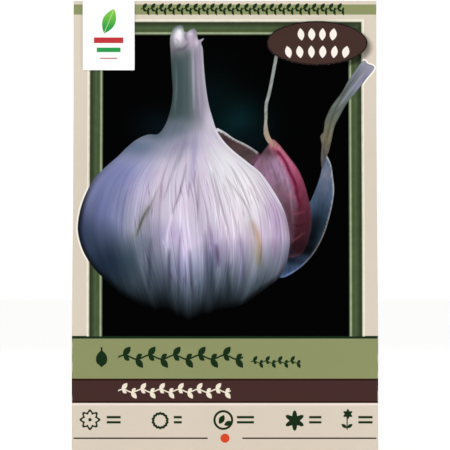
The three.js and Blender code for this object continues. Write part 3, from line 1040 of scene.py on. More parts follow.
def use_group(tree, name, **inputs):
    """Places a group in a tree, making it the first time it is called for. An input's name is
    given with _ for a space."""
    if name not in bpy.data.node_groups:
        GROUP_MAKERS[name]()
    node = tree.nodes.new("ShaderNodeGroup")
    node.node_tree = bpy.data.node_groups[name]
    for key, value in inputs.items():
        feed(tree, node.inputs[key.replace("_", " ")], value)
    return node.outputs


PLACE_INPUTS = [("X", 0.0), ("Z", 0.0), ("Centre X", 0.0), ("Centre Z", 0.0)]
MARK_SOFTNESS = 0.09
MIDRIB_HALF = 0.1


def offset_from_centre(tree, start):
    """How far a place is from a mark's centre, across and up."""
    dx = calc(tree, "SUBTRACT", start["X"], start["Centre X"])
    dz = calc(tree, "SUBTRACT", start["Z"], start["Centre Z"])
    return dx, dz


def make_rosette_group():
    """A mark with petals: its edge stands at the radius times one plus the petal depth times
    the cosine of the petal count times the angle. It comes filled and as an outline."""
    inputs = PLACE_INPUTS + [("Radius", 3.0), ("Petals", 6.0), ("Depth", 0.2), ("Line", 0.25)]
    group, start, end = new_group("rosette_mark", inputs, [("Filled", MASK), ("Outline", MASK)])
    dx, dz = offset_from_centre(group, start)
    square = calc(group, "ADD", calc(group, "MULTIPLY", dx, dx), calc(group, "MULTIPLY", dz, dz))
    distance = calc(group, "SQRT", square)
    angle = calc(group, "MULTIPLY", calc(group, "ARCTAN2", dx, dz), start["Petals"])
    wave = calc(group, "MULTIPLY", calc(group, "COSINE", angle), start["Depth"])
    edge = calc(group, "MULTIPLY", calc(group, "ADD", wave, 1.0), start["Radius"])
    inwards = calc(group, "SUBTRACT", edge, distance)
    feed(group, end["Filled"], step_up(group, inwards, -MARK_SOFTNESS, MARK_SOFTNESS))
    line = calc(group, "SUBTRACT", start["Line"], calc(group, "ABSOLUTE", inwards))
    feed(group, end["Outline"], step_up(group, line, -MARK_SOFTNESS, MARK_SOFTNESS))


def make_leaf_group():
    """A leaf from its foot along an angle: its half width is a parabola of the way along it,
    nothing at both ends. Its midrib is a thin line down the middle."""
    inputs = PLACE_INPUTS + [("Angle", 0.0), ("Length", 5.0), ("Width", 2.0)]
    group, start, end = new_group("leaf_mark", inputs, [("Filled", MASK), ("Midrib", MASK)])
    dx, dz = offset_from_centre(group, start)
    cosine = calc(group, "COSINE", start["Angle"])
    sine = calc(group, "SINE", start["Angle"])
    along = calc(group, "ADD", calc(group, "MULTIPLY", dx, cosine), calc(group, "MULTIPLY", dz, sine))
    side = calc(group, "SUBTRACT", calc(group, "MULTIPLY", dz, cosine), calc(group, "MULTIPLY", dx, sine))
    share = calc(group, "DIVIDE", along, start["Length"])
    rest = calc(group, "SUBTRACT", 1.0, share)
    hump = calc(group, "MULTIPLY", calc(group, "MULTIPLY", share, rest), 2.0)
    half = calc(group, "MULTIPLY", hump, start["Width"])
    inwards = calc(group, "SUBTRACT", half, calc(group, "ABSOLUTE", side))
    filled = step_up(group, inwards, -MARK_SOFTNESS, MARK_SOFTNESS)
    feed(group, end["Filled"], filled)
    rib = calc(group, "SUBTRACT", MIDRIB_HALF, calc(group, "ABSOLUTE", side))
    rib = step_up(group, rib, -MARK_SOFTNESS, MARK_SOFTNESS)
    feed(group, end["Midrib"], calc(group, "MULTIPLY", rib, filled))


def make_bar_group():
    """A straight-sided bar, by the larger of how far a place lies outside its half width and
    its half height."""
    inputs = PLACE_INPUTS + [("Half Width", 3.0), ("Half Height", 0.3)]
    group, start, end = new_group("bar_mark", inputs, [("Filled", MASK)])
    dx, dz = offset_from_centre(group, start)
    across = calc(group, "SUBTRACT", start["Half Width"], calc(group, "ABSOLUTE", dx))
    up = calc(group, "SUBTRACT", start["Half Height"], calc(group, "ABSOLUTE", dz))
    inwards = calc(group, "MINIMUM", across, up)
    feed(group, end["Filled"], step_up(group, inwards, -MARK_SOFTNESS, MARK_SOFTNESS))


def make_bands_group():
    """The print that runs all round the bag: level bands over the ground's colour."""
    inputs = [("Z", 0.0)] + [(name, ink(BEIGE)) for name in ("Ground", "Olive", "Brown")]
    group, start, end = new_group("printed_bands", inputs, [("Colour", COLOUR)])
    colour = start["Ground"]
    for low, high, tint in PRINTED_BANDS:
        tint = start[tint] if isinstance(tint, str) else ink(tint)
        colour = blend(group, band(group, start["Z"], low, high), colour, tint)
    feed(group, end["Colour"], colour)


def make_paper_group():
    """Coated paper: the print made cloudy by fibres and coating, pale where it has rubbed off,
    with uneven gloss and the height of the fibres."""
    inputs = [("Vector", (0.0, 0.0, 0.0)), ("Colour", ink(BEIGE)), ("Wear", 0.0), ("Roughness", 0.5)]
    outputs = [("Colour", COLOUR), ("Roughness", MASK), ("Height", MASK)]
    group, start, end = new_group("paper_stock", inputs, outputs)
    fibres = noise(group, start["Vector"], 1800.0, (1.0, 1.0, 0.55), 3.0, 0.65)
    clouds = noise(group, start["Vector"], 75.0, (1.0, 1.0, 1.0), 3.0, 0.55)
    marks = noise(group, start["Vector"], 240.0, (1.0, 1.0, 3.0), 4.0, 0.6)
    tone = calc(group, "ADD", calc(group, "MULTIPLY", fibres, 0.4), calc(group, "MULTIPLY", clouds, 0.6))
    cloudy = scaled(group, start["Colour"], calc(group, "MULTIPLY_ADD", tone, 0.1, 0.95))
    rubbed = calc(group, "MULTIPLY", start["Wear"], 0.75)
    feed(group, end["Colour"], blend(group, rubbed, cloudy, ink(RUBBED_PAPER)))
    gloss = calc(group, "MULTIPLY", clouds, step_up(group, marks, 0.35, 0.65))
    shine = calc(group, "MULTIPLY_ADD", gloss, -0.14, start["Roughness"])
    feed(group, end["Roughness"], calc(group, "MULTIPLY_ADD", start["Wear"], 0.25, shine))
    height = calc(group, "ADD", calc(group, "MULTIPLY", fibres, 0.5), calc(group, "MULTIPLY", marks, 0.5))
    feed(group, end["Height"], height)


def make_wear_group():
    """Wear along a fold or edge: a mask that is full at the edge, fades over the reach and is
    broken up by noise."""
    inputs = [("Vector", (0.0, 0.0, 0.0)), ("Distance", 1.0), ("Reach", 0.5)]
    group, start, end = new_group("fold_wear", inputs, [("Mask", MASK)])
    share = calc(group, "DIVIDE", start["Distance"], start["Reach"])
    near = step_up(group, share, 1.0, 0.0)
    rough = noise(group, start["Vector"], 900.0, (1.0, 1.0, 0.35), 4.0, 0.6)
    feed(group, end["Mask"], calc(group, "MULTIPLY", near, step_up(group, rough, 0.46, 0.62)))


def make_fibre_group():
    """Streaks that run with a skin: fine fibres, broad ribs, dark veins and pale threads, all
    noise that is close across the skin and long down it."""
    outputs = [(name, MASK) for name in ("Fibres", "Ribs", "Veins", "Threads", "Patches")]
    group, start, end = new_group("skin_fibres", [("Flow", (0.0, 0.0, 0.0))], outputs)
    flow = start["Flow"]
    feed(group, end["Fibres"], noise(group, flow, 1.0, (42.0, 0.7, 1.0), 3.0, 0.6))
    feed(group, end["Ribs"], noise(group, flow, 1.0, (15.0, 0.3, 1.0), 2.0, 0.55))
    vein = noise(group, flow, 1.0, (14.0, 0.22, 2.0), 1.5, 0.5)
    ridge = calc(group, "ABSOLUTE", calc(group, "SUBTRACT", vein, 0.5))
    feed(group, end["Veins"], step_up(group, ridge, 0.03, 0.0))
    thread = noise(group, flow, 1.0, (12.0, 0.18, 3.0), 1.5, 0.5)
    ridge = calc(group, "ABSOLUTE", calc(group, "SUBTRACT", thread, 0.47))
    feed(group, end["Threads"], step_up(group, ridge, 0.024, 0.0))
    feed(group, end["Patches"], noise(group, flow, 1.0, (7.0, 0.9, 4.0), 2.0, 0.5))


GROUP_MAKERS = {
    "rosette_mark": make_rosette_group,
    "leaf_mark": make_leaf_group,
    "bar_mark": make_bar_group,
    "printed_bands": make_bands_group,
    "paper_stock": make_paper_group,
    "fold_wear": make_wear_group,
    "skin_fibres": make_fibre_group,
}


def millimetres(tree):
    """The place on the piece in the object's own frame: the vector in metres, and X and Z in
    millimetres."""
    place = add_node(tree, "ShaderNodeTexCoord", {}).outputs["Object"]
    large = add_node(tree, "ShaderNodeVectorMath", {0: place}, operation="SCALE")
    feed(tree, large.inputs["Scale"], MM)
    parts = add_node(tree, "ShaderNodeSeparateXYZ", {0: large.outputs[0]}).outputs
    return place, parts["X"], parts["Z"]


def layer_colour(tree, name):
    """A colour that the mesh carries."""
    return add_node(tree, "ShaderNodeAttribute", {}, attribute_name=name).outputs["Color"]


def layer_vector(tree, name):
    """A vector that the mesh carries."""
    return add_node(tree, "ShaderNodeAttribute", {}, attribute_name=name).outputs["Vector"]


def layer_parts(tree, name):
    """The three numbers of a vector that the mesh carries."""
    return add_node(tree, "ShaderNodeSeparateXYZ", {0: layer_vector(tree, name)}).outputs


def rgba(colour):
    """A property's colour with full cover."""
    return (*colour, 1.0)


def new_material(name):
    """A material with its tree, its shader and that shader's inputs."""
    material = bpy.data.materials.new(name)
    material.use_nodes = True
    tree = material.node_tree
    return material, tree, tree.nodes["Principled BSDF"].inputs


def flat_print(tree, z):
    """The beige ground with its level bands, in the inks that the user sets."""
    inks = bpy.context.scene.packet_inks
    colours = {"Ground": rgba(inks.ground), "Olive": rgba(inks.olive), "Brown": rgba(inks.brown)}
    return use_group(tree, "printed_bands", Z=z, **colours)["Colour"]


def frame_print(tree, x, z, place, colour):
    """The moulding round the picture and the black inside it, by the distance inwards from the
    frame's outer edge."""
    left = calc(tree, "SUBTRACT", x, FRAME_LEFT)
    right = calc(tree, "SUBTRACT", FRAME_RIGHT, x)
    top = calc(tree, "SUBTRACT", FRAME_TOP, z)
    inwards = calc(tree, "MINIMUM", calc(tree, "MINIMUM", left, right), top)
    above = step_up(tree, z, *FRAME_FOOT)
    moulding = ramp(tree, inwards, FRAME_MOULDING, 0.0, FRAME_WIDTH)
    grain = noise(tree, place, 420.0, (1.0, 1.0, 1.0), 3.0, 0.6)
    moulding = scaled(tree, moulding, calc(tree, "MULTIPLY_ADD", grain, 0.5, 0.75))
    inner = calc(tree, "MULTIPLY", step_up(tree, inwards, *FRAME_INNER), above)
    moulding = blend(tree, inner, moulding, layer_colour(tree, "panel_colour"))
    cover = calc(tree, "MULTIPLY", step_up(tree, inwards, -0.12, 0.12), above)
    cream = calc(tree, "MULTIPLY", band(tree, inwards, -0.3, 0.1, 0.12), above)
    colour = blend(tree, cream, colour, ink(CREAM))
    return blend(tree, cover, colour, moulding), cover


def skin_print(tree, flow):
    """The bulb's painted colours with fibres, ribs, dark veins, pale threads and patches, most
    of them strongest on the body and on its lit side."""
    turn, height, _ = add_node(tree, "ShaderNodeSeparateXYZ", {0: flow}).outputs
    fibres = use_group(tree, "skin_fibres", Flow=flow)
    body = step_up(tree, height, 11.4, 9.0)
    lit_side = step_up(tree, turn, -1.0, -0.25)
    strength = calc(tree, "MULTIPLY_ADD", calc(tree, "MULTIPLY", body, lit_side), 0.24, 0.16)
    fine = calc(tree, "SUBTRACT", fibres["Fibres"], 0.5)
    broad = calc(tree, "SUBTRACT", fibres["Ribs"], 0.5)
    streaks = calc(tree, "MULTIPLY_ADD", broad, 0.8, fine)
    lit = calc(tree, "MULTIPLY_ADD", streaks, strength, 1.0)
    bulb = scaled(tree, layer_colour(tree, "bulb_colour"), lit)
    veins = calc(tree, "MULTIPLY", fibres["Veins"], calc(tree, "MULTIPLY_ADD", body, 0.4, 0.08))
    veins = calc(tree, "MULTIPLY", veins, calc(tree, "MULTIPLY_ADD", lit_side, 0.8, 0.2))
    bulb = blend(tree, veins, bulb, ink(VEIN_LILAC), "MULTIPLY")
    on_lit_side = calc(tree, "MULTIPLY_ADD", lit_side, 0.22, 0.05)
    threads = calc(tree, "MULTIPLY", fibres["Threads"], on_lit_side)
    below_neck = calc(tree, "MULTIPLY_ADD", step_up(tree, height, 10.8, 9.0), 0.85, 0.15)
    threads = calc(tree, "MULTIPLY", threads, below_neck)
    bulb = scaled(tree, bulb, calc(tree, "ADD", threads, 1.0))
    patch = calc(tree, "MULTIPLY", step_up(tree, fibres["Patches"], 0.5, 0.8), 0.6)
    return blend(tree, patch, bulb, ink(PATCH_PINK), "MULTIPLY")


def behind_print(tree, place, height):
    """The painted colours of what stands behind the bulb, with a grain that turns to run along
    the strap."""
    inputs = {"Vector": place, "Angle": -0.6}
    leaning = add_node(tree, "ShaderNodeVectorRotate", inputs, rotation_type="Y_AXIS").outputs[0]
    grain = noise(tree, place, 700.0, (1.6, 1.0, 0.35), 3.0, 0.6)
    strap_grain = noise(tree, leaning, 900.0, (1.8, 1.0, 0.12), 3.0, 0.6)
    up_strap = step_up(tree, height, 10.5, 11.2)
    below = calc(tree, "MULTIPLY", grain, calc(tree, "SUBTRACT", 1.0, up_strap))
    grain = calc(tree, "ADD", below, calc(tree, "MULTIPLY", strap_grain, up_strap))
    reach = calc(tree, "MULTIPLY_ADD", up_strap, 0.7, 0.9)
    lit = calc(tree, "MULTIPLY_ADD", calc(tree, "SUBTRACT", grain, 0.5), reach, 1.0)
    return scaled(tree, layer_colour(tree, "behind_colour"), lit)


def bulb_print(tree, place, colour, framed):
    """The pictured bulb with what stands behind it, cut out over the panel and its frame, with
    a thin cream margin where the cut-out leaves the frame."""
    edges = layer_parts(tree, "picture_edges")
    flow = layer_vector(tree, "skin_flow")
    height = layer_parts(tree, "skin_flow")["Y"]
    cut_out = calc(tree, "MAXIMUM", edges["X"], edges["Y"])
    unframed = calc(tree, "SUBTRACT", 1.0, framed)
    margin = calc(tree, "MULTIPLY", step_up(tree, cut_out, *CUT_OUT_MARGIN), unframed)
    colour = blend(tree, margin, colour, ink(CUT_OUT_CREAM))
    behind = step_up(tree, edges["Y"], -CUT_OUT_SOFTNESS, CUT_OUT_SOFTNESS)
    colour = blend(tree, behind, colour, behind_print(tree, place, height))
    bulb = step_up(tree, edges["X"], -CUT_OUT_SOFTNESS, CUT_OUT_SOFTNESS)
    return blend(tree, bulb, colour, skin_print(tree, flow))


def leaf(tree, x, z, foot, angle, length, width, part="Filled"):
    """A printed leaf, with its foot's place in millimetres and its angle in degrees."""
    turn = float(np.radians(angle))
    marks = {"Centre_X": foot[0], "Centre_Z": foot[1], "Angle": turn, "Length": length, "Width": width}
    return use_group(tree, "leaf_mark", X=x, Z=z, **marks)[part]


def rosette(tree, x, z, centre, radius, petals, depth, line=0.3, part="Filled"):
    """A printed mark with petals."""
    marks = {"Centre_X": centre[0], "Centre_Z": centre[1], "Radius": radius, "Petals": petals}
    return use_group(tree, "rosette_mark", X=x, Z=z, Depth=depth, Line=line, **marks)[part]


def bar(tree, x, z, left, right, middle, half_height):
    """A printed bar between two places across."""
    marks = {"Centre_X": (left + right) / 2, "Centre_Z": middle, "Half_Width": (right - left) / 2}
    return use_group(tree, "bar_mark", X=x, Z=z, Half_Height=half_height, **marks)["Filled"]


def vine(tree, x, z, left, right, middle, pitch, size):
    """A leafy runner: a stem along a sine curve, with a pair of unlike leaves near each crest
    and trough. The place across is wrapped to one pitch, so only two pairs are drawn."""
    wrapped = calc(tree, "FLOORED_MODULO", calc(tree, "SUBTRACT", x, left), pitch)
    lift = calc(tree, "SINE", calc(tree, "MULTIPLY", wrapped, 2 * float(np.pi) / pitch))
    level = calc(tree, "SUBTRACT", z, middle)
    rise = calc(tree, "MULTIPLY", lift, 0.16 * size)
    off_stem = calc(tree, "ABSOLUTE", calc(tree, "SUBTRACT", level, rise))
    stem = step_up(tree, off_stem, 0.07 * size + 0.1, 0.07 * size - 0.08)
    masks = [stem]
    for share, side in ((0.2, 1), (0.7, -1)):
        foot = (share * pitch, side * 0.1 * size)
        masks.append(leaf(tree, wrapped, level, foot, side * 52, 0.95 * size, 0.5 * size))
        foot = (share * pitch + 0.04 * size, side * 0.1 * size)
        masks.append(leaf(tree, wrapped, level, foot, -side * 38, 0.6 * size, 0.36 * size))
    marks = largest(tree, masks)
    return calc(tree, "MULTIPLY", marks, band(tree, x, left, right))


def little_bulb(tree, x, z, centre, foot, size):
    """A small garlic bulb: a round body that rises in a point to a stalk."""
    body = rosette(tree, x, z, (centre, foot + 0.3 * size), 0.31 * size, 3.0, 0.0)
    shoulder = leaf(tree, x, z, (centre, foot - 0.1 * size), 90, 0.95 * size, 0.62 * size)
    stalk = bar(tree, x, z, centre - 0.05 * size, centre + 0.05 * size, foot + 0.8 * size, 0.2 * size)
    return largest(tree, [body, shoulder, stalk])


def green_marks(tree, x, z):
    """The dark green ornaments: a little bulb and two vines on the wide band, a vine on the
    top strip, and five growing signs in the foot's margin, each with a pair of plain bars."""
    masks = [little_bulb(tree, x, z, *LITTLE_BULB)]
    masks += [vine(tree, x, z, *values) for values in GREEN_VINES]
    masks += [rosette(tree, x, z, *values, "Outline") for values in SIGN_RINGS]
    masks += [rosette(tree, x, z, *values) for values in SIGN_FLOWERS]
    masks += [leaf(tree, x, z, *values) for values in SIGN_LEAVES]
    masks.append(bar(tree, x, z, *SIGN_STALK))
    for left, right in SIGN_BARS:
        for middle in SIGN_BAR_HEIGHTS:
            masks.append(bar(tree, x, z, left, right, middle, SIGN_BAR_HALF))
    return largest(tree, masks)


def ornaments(tree, x, z, colour):
    """All the small print over the bands."""
    colour = blend(tree, green_marks(tree, x, z), colour, ink(DARK_GREEN))
    colour = blend(tree, vine(tree, x, z, *CREAM_VINE), colour, ink(VINE_CREAM))
    off_middle = step_up(tree, calc(tree, "ABSOLUTE", x), *RULE_GAP)
    rule = calc(tree, "MULTIPLY", band(tree, z, *RULE_BAND), off_middle)
    rule = calc(tree, "MULTIPLY", rule, band(tree, x, -RULE_END, RULE_END))
    colour = blend(tree, rule, colour, ink(RULE_BROWN))
    dot = rosette(tree, x, z, DOT_CENTRE, DOT_RADIUS, 3.0, 0.0)
    return blend(tree, dot, colour, ink(DOT_RED))


def oval_place(tree, x, z, shift=(0.0, 0.0)):
    """A place as shares of the oval label's half width and half height, and its distance from
    the middle in those shares, which is 1 on the outline."""
    dx = calc(tree, "SUBTRACT", x, OVAL_MIDDLE[0] + shift[0])
    dz = calc(tree, "SUBTRACT", z, OVAL_MIDDLE[2] + shift[1])
    across = calc(tree, "DIVIDE", dx, OVAL_HALF[0])
    up = calc(tree, "DIVIDE", dz, OVAL_HALF[2])
    square = calc(tree, "ADD", calc(tree, "MULTIPLY", across, across), calc(tree, "MULTIPLY", up, up))
    return across, up, calc(tree, "SQRT", square)


def label_shadow(tree, x, z, colour):
    """The soft shadow printed under the oval label's lower right edge."""
    _, _, ring = oval_place(tree, x, z, SHADOW_SHIFT)
    shade = step_up(tree, ring, 1.1, 0.94)
    return scaled(tree, colour, calc(tree, "MULTIPLY_ADD", shade, -0.68, 1.0))


def paper_finish(tree, shader, place, colour, worn, roughness, shine_level=0.2):
    """Gives a shader coated, printed paper with a fine fibre bump."""
    sheet = {"Vector": place, "Colour": colour, "Wear": worn, "Roughness": roughness}
    stock = use_group(tree, "paper_stock", **sheet)
    feed(tree, shader["Base Color"], stock["Colour"])
    feed(tree, shader["Roughness"], stock["Roughness"])
    shader["Specular IOR Level"].default_value = shine_level
    bump = add_node(tree, "ShaderNodeBump", {"Height": stock["Height"]})
    bump.inputs["Strength"].default_value = 0.35
    bump.inputs["Distance"].default_value = 0.00006
    feed(tree, shader["Normal"], bump.outputs[0])


def corner_wear(tree, z, place):
    """Wear on the upright folds, the foot and the mouth: the distance in millimetres is from
    the nearest of them."""
    side = layer_parts(tree, "fold_distance")["X"]
    ends = calc(tree, "MINIMUM", z, calc(tree, "SUBTRACT", HEIGHT * MM, z))
    distance = calc(tree, "MINIMUM", side, ends)
    reach = bpy.context.scene.packet_handling.wear_reach * MM
    return use_group(tree, "fold_wear", Vector=place, Distance=distance, Reach=reach)["Mask"]


def front_material():
    """The printed front: bands, framed picture and ornaments."""
    material, tree, shader = new_material("packet_front_print")
    place, x, z = millimetres(tree)
    colour = flat_print(tree, z)
    colour, framed = frame_print(tree, x, z, place, colour)
    colour = label_shadow(tree, x, z, colour)
    colour = bulb_print(tree, place, colour, framed)
    colour = ornaments(tree, x, z, colour)
    worn = corner_wear(tree, z, place)
    paper_finish(tree, shader, place, colour, worn, roughness=0.5, shine_level=0.015)
    return material


def folded_paper_material():
    """The back and the sides: the level bands run on round the bag."""
    material, tree, shader = new_material("packet_side_print")
    place, _, z = millimetres(tree)
    colour = flat_print(tree, z)
    paper_finish(tree, shader, place, colour, corner_wear(tree, z, place), roughness=0.5)
    return material


def bare_paper_material():
    """The folded foot and the cut mouth: uncoated paper, with painted shade down between its layers."""
    material, tree, shader = new_material("packet_bare_paper")
    place, _, z = millimetres(tree)
    # Painted shade: the paper is darkened from just under the top edge down, where the mouth's slit goes
    # in between the layers.
    depth = calc(tree, "SUBTRACT", HEIGHT * MM, z)
    between = calc(tree, "MULTIPLY", band(tree, depth, 0.25, 10.0, 0.2), 0.9)
    colour = blend(tree, between, ink(BARE_PAPER), ink(PAINTED_SLIT_SHADE))
    specks = noise(tree, place, 2600.0, (1.0, 1.0, 1.0), 3.0, 0.7)
    colour = scaled(tree, colour, calc(tree, "MULTIPLY_ADD", specks, 0.3, 0.85))
    worn = use_group(tree, "fold_wear", Vector=place, Distance=z, Reach=0.3)["Mask"]
    worn = calc(tree, "MULTIPLY", worn, 0.3)
    paper_finish(tree, shader, place, colour, worn, roughness=0.72)
    return material


def label_distance(tree, x, z):
    """How far inside the oval label a place lies, in millimetres: one minus the ellipse's own
    radius there, divided by how fast that radius grows outwards."""
    across, up, ring = oval_place(tree, x, z)
    slope_x = calc(tree, "POWER", calc(tree, "DIVIDE", across, OVAL_HALF[0]), 2.0)
    slope_z = calc(tree, "POWER", calc(tree, "DIVIDE", up, OVAL_HALF[2]), 2.0)
    slope = calc(tree, "DIVIDE", calc(tree, "SQRT", calc(tree, "ADD", slope_x, slope_z)), ring)
    return calc(tree, "DIVIDE", calc(tree, "SUBTRACT", 1.0, ring), slope)


def leaf_label_material():
    """The white label: one green leaf with a pale midrib over three plain bars."""
    material, tree, shader = new_material("leaf_label_print")
    place, x, z = millimetres(tree)
    inks = bpy.context.scene.packet_inks
    middle = float((LEAF_LOW[0] + LEAF_HIGH[0]) / 2 * MM)
    foot = (middle + LEAF_FOOT[0], LEAF_FOOT[1])
    lit = blend(tree, step_up(tree, z, *LEAF_SHINE), ink(LEAF_GREEN), ink(LEAF_LIT))
    colour = blend(tree, leaf(tree, x, z, foot, *LEAF_SHAPE), rgba(inks.white_label), lit)
    rib = leaf(tree, x, z, foot, *LEAF_SHAPE, "Midrib")
    colour = blend(tree, rib, colour, ink(MIDRIB_GREEN))
    for reach, height, half_height, tint in LABEL_BARS:
        mask = bar(tree, x, z, middle - reach, middle + reach, height, half_height)
        colour = blend(tree, mask, colour, ink(tint))
    off_middle = calc(tree, "ABSOLUTE", calc(tree, "SUBTRACT", x, middle))
    inwards = calc(tree, "SUBTRACT", float(LEAF_HIGH[0] - LEAF_LOW[0]) / 2 * MM, off_middle)
    worn = use_group(tree, "fold_wear", Vector=place, Distance=inwards, Reach=0.25)["Mask"]
    worn = calc(tree, "MULTIPLY", worn, 0.3)
    paper_finish(tree, shader, place, colour, worn, roughness=0.38)
    return material


def oval_label_material():
    """The brown oval label: a black rim, and two rows of plain off-white cloves."""
    material, tree, shader = new_material("oval_label_print")
    place, x, z = millimetres(tree)
    inks = bpy.context.scene.packet_inks
    inwards = label_distance(tree, x, z)
    colour = blend(tree, step_up(tree, inwards, 0.55, 0.35), rgba(inks.brown_label), ink(OVAL_RIM))
    masks = []
    for level, places in CLOVE_ROWS:
        for number, across in enumerate(places):
            foot = (OVAL_MIDDLE[0] + across, OVAL_MIDDLE[2] + level)
            lean = 90 - CLOVE_LEAN * across
            masks.append(leaf(tree, x, z, foot, lean, CLOVE_LENGTH, CLOVE_WIDTHS[number % 2]))
    colour = blend(tree, largest(tree, masks), colour, ink(CLOVE_WHITE))
    worn = use_group(tree, "fold_wear", Vector=place, Distance=inwards, Reach=0.2)["Mask"]
    worn = calc(tree, "MULTIPLY", worn, 0.15)
    paper_finish(tree, shader, place, colour, worn, roughness=0.4, shine_level=0.1)
    return material


def garlic_skin_material():
    """Dry garlic skin: lilac streaks that run from root to neck, over papery white."""
    material, tree, shader = new_material("garlic_skin_dry")
    place = add_node(tree, "ShaderNodeTexCoord", {}).outputs["Object"]
    fibres = use_group(tree, "skin_fibres", Flow=layer_vector(tree, "skin_flow"))
    inks = bpy.context.scene.packet_inks
    tinted = blend(tree, fibres["Ribs"], rgba(inks.garlic_skin), ink(SKIN_PURPLE))
    lit = scaled(tree, tinted, calc(tree, "MULTIPLY_ADD", fibres["Fibres"], 0.6, 0.7))
    veins = calc(tree, "MULTIPLY", fibres["Veins"], 0.45)
    feed(tree, shader["Base Color"], blend(tree, veins, lit, ink(SKIN_VEIN)))
    feed(tree, shader["Roughness"], calc(tree, "MULTIPLY_ADD", fibres["Patches"], 0.3, 0.35))
    shader["Specular IOR Level"].default_value = 0.35
    grain = noise(tree, place, 1500.0, (1.0, 1.0, 0.3), 3.0, 0.6)
    height = calc(tree, "MULTIPLY_ADD", grain, 0.4, fibres["Fibres"])
    bump = add_node(tree, "ShaderNodeBump", {"Height": height})
    bump.inputs["Strength"].default_value = 0.5
    bump.inputs["Distance"].default_value = 0.0002
    feed(tree, shader["Normal"], bump.outputs[0])
    return material


def floor_material():
    """A plain pale floor."""
    material, tree, shader = new_material("pale_floor")
    place = add_node(tree, "ShaderNodeTexCoord", {}).outputs["Object"]
    clouds = noise(tree, place, 3.0, (1.0, 1.0, 1.0), 2.0, 0.5)
    tint = bpy.context.scene.packet_stage.floor_colour
    mottle = calc(tree, "MULTIPLY_ADD", clouds, 0.02, 0.99)
    feed(tree, shader["Base Color"], scaled(tree, tuple(tint), mottle))
    shader["Roughness"].default_value = 0.85
    shader["Specular IOR Level"].default_value = 0.1
    shader["Emission Color"].default_value = rgba(tint)
    shader["Emission Strength"].default_value = bpy.context.scene.packet_stage.floor_glow
    return material


# ---- Pieces ---------------------------------------------------------------------------


def make_front():
    """The printed front panel, which turns a little way round each upright fold."""
    reach = HALF_WIDTH + PANEL_OVERLAP
    s, z = panel_grid(-reach, reach, FRONT_COLUMNS)
    surface = paper_surface(s, z)
    front = grid_object("packet_front", *surface)
    add_layers(front, picture_layers(surface[0] * MM, z * MM))
    add_layers(front, fold_distance(s))
    finish_piece(front, front_material(), "paper_bag")


def make_back(material):
    """The back panel: the front's surface mirrored front to back, with the glued seam's edge
    as a small step."""
    reach = HALF_WIDTH + PANEL_OVERLAP
    s, z = panel_grid(-reach, reach, BACK_COLUMNS)
    x, y, _ = paper_surface(s, z)
    lap = ease(x, SEAM_LEFT, SEAM_RIGHT) * ease(x, SEAM_RIGHT + SEAM_STEP, SEAM_RIGHT)
    glued = PAPER_THICKNESS * lap * ease(z, 0.0, 0.001)
    back = grid_object("packet_back", x, glued - y, z, inside_out=True)
    add_layers(back, fold_distance(s))
    finish_piece(back, material, "paper_bag")


def make_sides(material):
    """The two side panels, each folded inwards along its middle."""
    low = HALF_WIDTH + PANEL_OVERLAP
    high = HALF_WIDTH + 2 * SIDE_HALF - PANEL_OVERLAP
    for name, first, last in (("packet_side_right", low, high), ("packet_side_left", -high, -low)):
        s, z = panel_grid(first, last, SIDE_COLUMNS)
        side = grid_object(name, *paper_surface(s, z))
        add_layers(side, fold_distance(s))
        finish_piece(side, material, "paper_bag")


def make_foot(material):
    """The block bottom: two long flaps folded over the end flaps, each a paper's thickness
    higher than what it covers, inside a rim that follows the bag's outline."""
    x, y, z, inside = end_surface(0.0, *FOOT_GRID)
    reach = np.abs(x) - FLAP_SLANT * np.abs(y)
    end_flap = ease(reach, *END_FLAP_EDGE)
    seam = ease(y, -FOOT_SEAM_HALF, FOOT_SEAM_HALF) * ease(reach, *FOOT_SEAM_END)
    rim = ease(inside, 0.0, FOOT_RIM) * ease(SIDE_HALF - np.abs(y), FOOT_END, FOOT_END + FOOT_RIM)
    long_flap, end_lift, seam_lift = FOOT_LIFTS
    lift = PAPER_THICKNESS * (long_flap + end_lift * end_flap + seam_lift * seam) * rim
    foot = grid_object("packet_foot", x, y, z + lift, inside_out=True)
    finish_piece(foot, material, "paper_bag")


def make_mouth(material):
    """The pinched mouth: the cut edges of the front, back and folded side papers, with the
    slit between them going down inside."""
    x, y, z, inside = end_surface(HEIGHT, *MOUTH_GRID)
    half_depth = SIDE_HALF * float(np.cos(fold_angle(np.array(HEIGHT))))
    from_face = half_depth - np.abs(y)
    slit = ease(from_face, PAPER_THICKNESS, PAPER_THICKNESS + SLIT_SLOPE)
    slit = slit * ease(inside, *SLIT_END)
    mouth = grid_object("packet_mouth", x, y, z - MOUTH_DEPTH * slit)
    finish_piece(mouth, material, "paper_bag")


def oval_outline(half_x, half_z, turn):
    """An ellipse."""
    return half_x * np.cos(turn), half_z * np.sin(turn)


def card_outline(half_x, half_z, turn):
    """A rectangle with rounded corners: a small circle whose middle is in the corner of an
    inner rectangle, shifted from corner to corner as the turn passes each quarter."""
    right = np.where(np.cos(turn) >= 0, 1, -1)
    upper = np.where(np.sin(turn) >= 0, 1, -1)
    x = right * (half_x - LABEL_CORNER) + LABEL_CORNER * np.cos(turn)
    z = upper * (half_z - LABEL_CORNER) + LABEL_CORNER * np.sin(turn)
    return x, z


